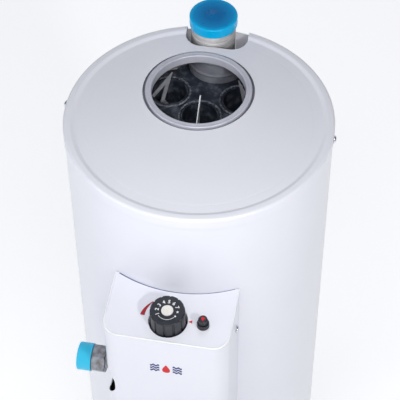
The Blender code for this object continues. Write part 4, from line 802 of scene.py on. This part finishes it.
def make_knob():
    """Twelve-grip knob: flared skirt, cut grips that run out through the rim, dished face."""
    wall, roof = 2.0 * MM, KNOB_H - 6.0 * MM
    lean = (KNOB_R - KNOB_TOP_R) / (KNOB_H - KNOB_LOW)
    side = [(KNOB_R - 0.4 * MM, KNOB_LOW), (KNOB_R, KNOB_LOW + 0.5 * MM)]
    side += [(KNOB_R - 0.02 * MM - lean * h * MM, KNOB_LOW + h * MM) for h in (3.0, 9.0, 16.0, 21.0)]
    side += arc(KNOB_TOP_R - 1.2 * MM, KNOB_H - 1.2 * MM, 1.2 * MM, 0.0, 90.0, 6)
    face = [(17.2 * MM, KNOB_H), (16.8 * MM, KNOB_H - 0.25 * MM), (16.4 * MM, KNOB_FACE),
            (9.0 * MM, KNOB_FACE), (8.2 * MM, KNOB_H - 0.1 * MM), (7.5 * MM, KNOB_H),
            (7.4 * MM, KNOB_H), (7.4 * MM, KNOB_H - 1.5 * MM), (4.4 * MM, KNOB_H - 1.5 * MM)]
    under = [(4.4 * MM, KNOB_LOW + MM), (8.5 * MM, KNOB_LOW + MM), (8.5 * MM, roof),
             (KNOB_TOP_R - 3 * MM, roof), (KNOB_R - wall, KNOB_LOW)]
    cutters = []
    angle = atan(lean)
    for i in range(KNOB_GRIPS):
        groove = rounded_plate(3.6 * MM, 2.8 * MM, 1.2 * MM, KNOB_LOW - 2 * MM, KNOB_H + 2 * MM, 4)
        shift = at(KNOB_TOP_R + 0.5 * MM, 0, KNOB_H) @ Matrix.Rotation(-angle, 4, "Y")
        turn = about_z(2 * pi * i / KNOB_GRIPS)
        cutters.append((groove, turn @ shift @ at(0, 0, -KNOB_H)))
    cut = carved(lathe(side + face + under, 144), cutters)
    made = piece("knob_shell", cut, "black", CONTROL_FRAME, "control_knob", 38.0, "knob")
    weigh_normals(made)
    disc = [(0.0, KNOB_H - 1.2 * MM), (7.0 * MM, KNOB_H - 1.2 * MM), (7.0 * MM, KNOB_H + 0.2 * MM)]
    disc += arc(6.5 * MM, KNOB_H + 0.2 * MM, 0.5 * MM, 0.0, 90.0, 5)
    disc += [(4.0 * MM, KNOB_H + 0.62 * MM), (0.0, KNOB_H + 0.5 * MM)]
    piece("knob_insert", lathe(disc, 96), "ivory", CONTROL_FRAME, "knob_disc", body="knob")


def numeral(text, size):
    """A plain sans numeral as a thin solid, centred on the origin."""
    curve = bpy.data.curves.new("numeral", "FONT")
    curve.body = text
    curve.size = size
    curve.align_x, curve.align_y = "CENTER", "CENTER"
    curve.extrude = MARK_H / 2
    curve.offset = 0.02 * size
    made = placed("numeral", curve)
    graph = bpy.context.evaluated_depsgraph_get()
    data = bpy.data.meshes.new_from_object(made.evaluated_get(graph))
    mesh = bmesh.new()
    mesh.from_mesh(data)
    bpy.data.objects.remove(made)
    bmesh.ops.remove_doubles(mesh, verts=mesh.verts, dist=0.001 * MM)
    return mesh


def ring_mark(inner, outer, start, end, low, steps=48, taper=0.0):
    """A flat arc-shaped mark; with taper its start end narrows about its middle radius."""
    mesh = bmesh.new()
    rings = []
    for i in range(steps + 1):
        share = i / steps
        angle = radians(start + (end - start) * share)
        narrow = taper * (1.0 - share)
        mid = (inner + outer) / 2.0
        near, far = inner + (mid - inner) * narrow, outer + (mid - outer) * narrow
        spots = [(near, low), (far, low), (far, low + MARK_H), (near, low + MARK_H)]
        rings.append([mesh.verts.new((r * cos(angle), r * sin(angle), z)) for r, z in spots])
    skin(mesh, rings)
    return mesh


def make_knob_marks():
    """Dial figures, a start mark, an off dot and the thin arc that joins them."""
    low, high = KNOB_FACE, KNOB_FACE + MARK_H
    marks = []
    for number in range(1, 8):
        turn = radians(240 - 30 * number)
        digit = numeral(str(number), FIGURE_H)
        digit.transform(about_z(turn - pi / 2) @ at(0, FIGURE_R, (low + high) / 2))
        marks.append(digit)
    points = [((1.9 if i % 2 else 0.8) * MM, pi * i / 5) for i in range(10)]
    star = prism([(END_MARK_R + r * cos(a), r * sin(a)) for r, a in points], low, high)
    off = radians(-30.0)
    dot = rod(1.05 * MM, low, high, 32, (END_MARK_R * cos(off), END_MARK_R * sin(off)))
    sweep = ring_mark(11.7 * MM, 12.2 * MM, -38.0, -140.0, low)
    figures = joined(*marks, star, dot, sweep)
    piece("knob_figures", figures, "white_ink", CONTROL_FRAME, body="knob")


def make_cover_marks():
    """Red wedge that shows which way is hotter, and the red pointer beside the knob."""
    low = 0.02 * MM
    wedge = ring_mark(28.5 * MM, 34.0 * MM, 134.5, 175.0, low, taper=0.85)
    piece("heat_wedge", wedge, "red", CONTROL_FRAME)
    tip = radians(5.6)
    arrow = prism([(0.0, 0.0), (4.5 * MM, 2.2 * MM), (4.5 * MM, -2.2 * MM)], low, low + MARK_H)
    place = CONTROL_FRAME @ about_z(tip) @ at(23.6 * MM, 0, 0)
    piece("knob_pointer", arrow, "bright_red", place)


def make_igniter():
    """Spark igniter: ribbed collar nut, barrel and a push button with a red mark on its end."""
    place = CONTROL_FRAME @ at(PIEZO_X, 0, 0)
    bore, barrel, nut = 5.65 * MM, 6.3 * MM, 7.15 * MM
    collar = arc(nut - 0.7 * MM, 6.3 * MM, 0.7 * MM, 0.0, 90.0, 5)
    ring = [(nut, 0.3 * MM), (nut, 1.6 * MM), (nut - 0.45 * MM, 1.9 * MM), (nut - 0.45 * MM, 4.2 * MM),
            (nut, 4.5 * MM)]
    section = [(0.0, -32 * MM), (barrel, -32 * MM), (barrel, 0.3 * MM)] + ring + collar + [
        (bore + 0.3 * MM, 7.0 * MM), (bore, 6.6 * MM), (bore, -11 * MM), (0.0, -11 * MM)]
    piece("igniter_barrel", lathe(section, 72), "black", place, "piezo_body")
    top, edge = 15.0 * MM, 5.35 * MM
    cap = arc(edge - 1.0 * MM, top - 1.0 * MM, 1.0 * MM, 0.0, 90.0, 6)
    head = [(0.0, -4.0 * MM), (edge, -4.0 * MM), (edge, 9.0 * MM), (edge - 0.4 * MM, 9.4 * MM),
            (edge - 0.4 * MM, 9.9 * MM), (edge, 10.3 * MM)] + cap + [
        (3.6 * MM, top), (3.3 * MM, top - 0.25 * MM), (0.0, top - 0.3 * MM)]
    piece("igniter_cap", lathe(head, 72), "black", place, "piezo_button", body="igniter_button")
    low = top - 0.32 * MM
    mark = prism([(0.0, -2.9 * MM), (1.35 * MM, -0.6 * MM), (2.3 * MM, 1.0 * MM), (1.5 * MM, 2.3 * MM),
                  (0.0, 2.7 * MM), (-1.5 * MM, 2.3 * MM), (-2.3 * MM, 1.0 * MM), (-1.35 * MM, -0.6 * MM)],
                 low, low + 0.3 * MM)
    piece("igniter_mark", mark, "bright_red", place, body="igniter_button")


def make_emblem():
    """Generic badge on the cover's front: a red drop between two blue waves."""
    front = COVER_LOW.y + RIM_OUT - 0.02 * MM
    face = at(2.0 * MM, front, BADGE_Z) @ ALONG_FRONT
    drop = [(6.6 * MM * sin(t) * sin(t / 2) ** 1.4, 7.6 * MM * cos(t))
            for t in [2 * pi * i / 40 for i in range(40)]]
    piece("badge_drop", prism(drop, 0.0, MARK_H), "bright_red", face)
    waves = []
    for side in (-1, 1):
        for row in (-4.8, 0.0, 4.8):
            line = [(side * (8.0 + 0.5 * i) * MM, (row + 1.1 * sin(i * 0.56)) * MM) for i in range(23)]
            band = [(x, y + 1.4 * MM) for x, y in line] + [(x, y - 1.4 * MM) for x, y in reversed(line)]
            if side < 0:
                band.reverse()
            waves.append(prism(band, 0.0, MARK_H))
    piece("badge_waves", joined(*waves), "navy", face)


# ---- gas inlet ----
def make_inlet():
    """Hexagon with chamfered corners, threaded nipple and a long moulded cap."""
    place = at(0.0, INLET.y, INLET.z) @ ALONG_LEFT
    nut_in, nut_out = -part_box("gas_inlet_nut")[1].x, -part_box("gas_inlet_nut")[0].x
    across = 31.5 * MM / sqrt(3.0)
    blank = rod(across, nut_in, nut_out, 6)
    cone = [(0.0, nut_in), (across - 1.6 * MM, nut_in), (across + 0.3 * MM, nut_in + 1.5 * MM),
            (across + 0.3 * MM, nut_out - 1.5 * MM), (across - 1.6 * MM, nut_out), (0.0, nut_out)]
    bore = rod(11.4 * MM, nut_in - MM, nut_out + MM, SMALL)
    hexagon = carved(carved(blank, [(lathe(cone, 96), None)], "INTERSECT"), [(bore, None)])
    piece("inlet_hexagon", hexagon, "zinc", place, "gas_inlet_nut", sharp=25.0)
    low, high = -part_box("gas_inlet_nipple")[1].x, -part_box("gas_inlet_nipple")[0].x
    stub, _, _ = threaded(GAS_PIPE_R, nut_out + 0.3 * MM, high, GAS_PITCH, GAS_GROOVE, 64)
    edges = [edge for edge in stub.edges if edge.is_boundary]
    bmesh.ops.holes_fill(stub, edges=edges, sides=0)
    core = [(0.0, low), (8.0 * MM, low), (8.0 * MM, nut_in - 8 * MM), (9.4 * MM, nut_in - 6 * MM),
            (11.0 * MM, nut_in - 0.4 * MM), (11.0 * MM, nut_out + 0.6 * MM), (0.0, nut_out + 0.6 * MM)]
    bore_end = rod(8.0 * MM, high - 25 * MM, high + MM, SMALL)
    nipple = carved(stub, [(lathe(core, 64), None)], "UNION")
    piece("inlet_nipple", carved(nipple, [(bore_end, None)]), "zinc", place,
          "gas_inlet_nipple", sharp=50.0)
    cap = lathe(cap_section(GAS_PIPE_R, 17.5 * MM, high, 18.0 * MM), 96)
    piece("inlet_cap_shell", cap, "inlet_blue", place, "gas_inlet_cap", body="inlet_plug")


# ---- screws ----
def make_screw(name, place, face, end):
    """Washer-head screw with a domed, cross-recessed head and a threaded shank."""
    head, height, core, crest, pitch = 5.2 * MM, 2.6 * MM, 1.6 * MM, 2.0 * MM, 0.7 * MM
    dome = [(head - 0.2 * MM, face), (head, face + 0.2 * MM), (head, face + 0.6 * MM),
            (4.1 * MM, face + 0.8 * MM), (3.9 * MM, face + 1.5 * MM), (3.2 * MM, face + 2.2 * MM),
            (2.0 * MM, face + 2.5 * MM), (0.0, face + height)]
    shank = [(0.0, end), (core, end + MM)]
    for i in range(int((face - end - 1.5 * MM) / pitch)):
        z = end + MM + i * pitch
        shank += [(core, z), (crest, z + pitch / 2)]
    shank.append((crest, face))
    low, high, long, thin = face + 1.2 * MM, face + 4 * MM, 2.6 * MM, 0.4 * MM
    across = block((-long, -thin, low), (long, thin, high))
    upright = block((-thin, -long, low), (thin, long, high))
    made = carved(lathe(shank + dome, 40), [(across, None), (upright, None)])
    piece(f"{name}_fine", made, "chrome", place, name, sharp=30.0)


def make_screws():
    for side, turn in (("left", ALONG_LEFT), ("right", ALONG_X)):
        lid_place = at(0, 0, LID_SCREW_Z) @ turn @ about_z(0.4)
        make_screw(f"lid_screw_{side}", lid_place, LID_R + 0.3 * MM, JACKET_R - 6.2 * MM)
        cover_place = at(0, -JACKET_R, SCREW_Z) @ turn @ about_z(0.9)
        make_screw(f"cover_screw_{side}", cover_place, COVER_HALF - 0.7 * MM, COVER_HALF - 7.3 * MM)


# ---- parts seen through the flue collar ----
def make_sensor():
    """Overheat sensor: bracket plate, round can and eyelet."""
    spot = middle("draught_sensor")
    high = span("draught_sensor")[1]
    turn = radians(34.1)
    place = at(spot.x, spot.y, high) @ about_z(turn)
    plate = rounded_plate(14 * MM, 5.2 * MM, 1.2 * MM, -21.5 * MM, -0.3 * MM)
    can = rod(3.6 * MM, 0.0, 4.6 * MM, 40)
    can.transform(at(0, -2.4 * MM, -12 * MM) @ ALONG_FRONT)
    eyelet = rod(1.6 * MM, 0.0, 2.0 * MM, 24)
    eyelet.transform(at(-4.6 * MM, -2.4 * MM, -4.4 * MM) @ ALONG_FRONT)
    piece("sensor_head", joined(plate, can, eyelet), "cast", place,
          "draught_sensor", sharp=30.0)


def make_sealant():
    """Uneven bead of flue sealant along the foot of the hood, from the left round to the rear."""
    mesh = bmesh.new()
    steps, sides, wide, high = 150, 8, 2.6 * MM, 2.9 * MM
    rings = []
    for i in range(steps + 1):
        angle = radians(112.0 + 68.0 * i / steps)
        wobble = 0.9 * MM * sin(27.0 * angle) + 0.6 * MM * sin(41.0 * angle)
        out = Vector((cos(angle), sin(angle), 0.0))
        centre = out * (HOOD_R - 4.4 * MM + wobble / 2) + UP * (PLATE_TOP + 1.2 * MM)
        rings.append(oval(mesh, centre, out, wide + wobble / 2, high + wobble, sides))
    skin(mesh, rings)
    for vert in mesh.verts:
        vert.co.z = max(vert.co.z, PLATE_TOP + 0.05 * MM)
    piece("hood_sealant", mesh, "putty", sharp=80.0)


TURBULATORS = [f"turbulator_{i}" for i in range(1, 7)]
PRESSED = ["sight_flap", "cover_bracket_left", "cover_bracket_right", "valve_bracket"]


def soften_strips():
    """The turbulators and the small pressed parts get the rounded edges of worked metal."""
    for name in TURBULATORS + PRESSED:
        bevel = frame["nodes"][name].modifiers.new("worked_edges", "BEVEL")
        bevel.width = 0.25 * MM
        bevel.segments = 2
        bevel.limit_method = "ANGLE"


# ---- carried-over solids ----
CARRIED = {
    "shell": ["boiler_shell", "firebox", "top_tube_plate"] + [f"fire_tube_{i}" for i in range(1, 7)],
    "strip": TURBULATORS,
    "sheet": ["draught_hood", "burner_tray"],
    "wool": ["insulation_blanket"],
    "iron": ["main_burner", "mixer_tube"],
    "brass": ["control_spindle", "burner_orifice", "pilot_burner", "sensor_pocket"],
    "copper": ["burner_feed_pipe", "pilot_tube", "thermocouple", "sensor_capillary"],
    "lead": ["ignition_lead"],
    "ceramic": ["spark_electrode"],
    "cast": ["gas_valve_body"],
    "zinc": ["inlet_elbow"],
    "ivory": ["push_collar"],
    "chrome": ["knob_spring"] + PRESSED,
}


def dress_carried():
    for key, names in CARRIED.items():
        for name in names:
            carried = frame["nodes"][name]
            carried.data.materials.clear()
            carried.data.materials.append(finish[key])
            carried.data.shade_smooth()
            carried.data.set_sharp_from_angle(angle=radians(35.0))


# ---- floor, light, camera ----
def make_floor():
    mesh = bmesh.new()
    bmesh.ops.create_grid(mesh, x_segments=1, y_segments=1, size=30.0)
    data = bpy.data.meshes.new("floor")
    mesh.to_mesh(data)
    mesh.free()
    made, tree, shader = new_material("studio_floor")
    cloud = noise(tree, 1.5)
    tree.links.new(ramp(tree, cloud, [(0.3, (0.93, 0.93, 0.94)), (0.7, (0.96, 0.96, 0.965))]),
                   shader.inputs["Base Color"])
    settle(shader, {"Roughness": 0.9, "Emission Color": (0.97, 0.98, 1.0, 1.0),
                    "Emission Strength": 0.56})
    data.materials.append(made)
    placed("floor", data)


def aim(made, place, target):
    made.location = place
    made.rotation_euler = (Vector(target) - Vector(place)).to_track_quat("-Z", "Y").to_euler()


def area_light(name, place, target, size, power, colour=(1.0, 1.0, 1.0)):
    lamp = bpy.data.lights.new(name, "AREA")
    lamp.shape = "DISK"
    lamp.size = size
    lamp.energy = power
    lamp.color = colour
    made = placed(name, lamp)
    made.visible_camera = False
    aim(made, place, target)


def make_lights():
    world = bpy.data.worlds.new("studio")
    world.use_nodes = True
    sky = world.node_tree.nodes["Background"]
    settle(sky, {"Color": (0.93, 0.95, 1.0, 1.0), "Strength": 0.25})
    bpy.context.scene.world = world
    heart = (0.0, -0.05, 0.8)
    area_light("key", (0.86, -1.04, 1.66), heart, 0.15, 8.0, (1.0, 0.99, 0.975))
    area_light("front_top", (0.02, -0.42, 1.42), (0.0, -0.13, 0.8), 0.30, 2.2)
    area_light("left_fill", (-1.3, -1.0, 1.25), heart, 1.1, 6.0, (0.96, 0.975, 1.0))
    area_light("front_fill", (-0.2, -2.1, 1.45), heart, 1.6, 4.3, (0.97, 0.98, 1.0))
    area_light("back", (-0.6, 1.7, 1.3), heart, 1.4, 2.0, (0.96, 0.975, 1.0))
    lamp = bpy.data.lights.new("flue_light", "SPOT")
    lamp.energy = 5.0
    lamp.spot_size = radians(5.6)
    lamp.spot_blend = 0.35
    lamp.shadow_soft_size = 0.04
    aim(placed("flue_light", lamp), (0.16, -0.55, 1.75), (FLUE.x, FLUE.y + 4 * MM, LID_TOP))


def make_camera():
    """High in front and a little to the right, through a long lens."""
    lens = bpy.data.cameras.new("camera")
    lens.sensor_width = 36.0
    lens.lens = 137.14
    lens.clip_start = 0.05
    made = placed("camera", lens)
    azimuth, tilt, roll = radians(11.0), radians(90.0 - 48.879), -0.0088
    turn = about_z(azimuth) @ Matrix.Rotation(tilt, 4, "X") @ about_z(roll)
    made.matrix_world = at(0.2388, -1.2263, 2.1331) @ turn
    bpy.context.scene.camera = made
    bpy.context.scene.view_settings.view_transform = "Standard"


make_camera()
make_lights()
make_floor()
dress_carried()
soften_strips()
make_lid()
make_jacket()
make_seam()
make_base()
make_collar()
make_shroud()
make_weld_rings()
make_sealant()
make_sensor()
make_outlet()
make_return()
make_cover()
make_rim_bead()
make_cover_gap()
make_knob()
make_knob_marks()
make_cover_marks()
make_igniter()
make_emblem()
make_inlet()
make_screws()
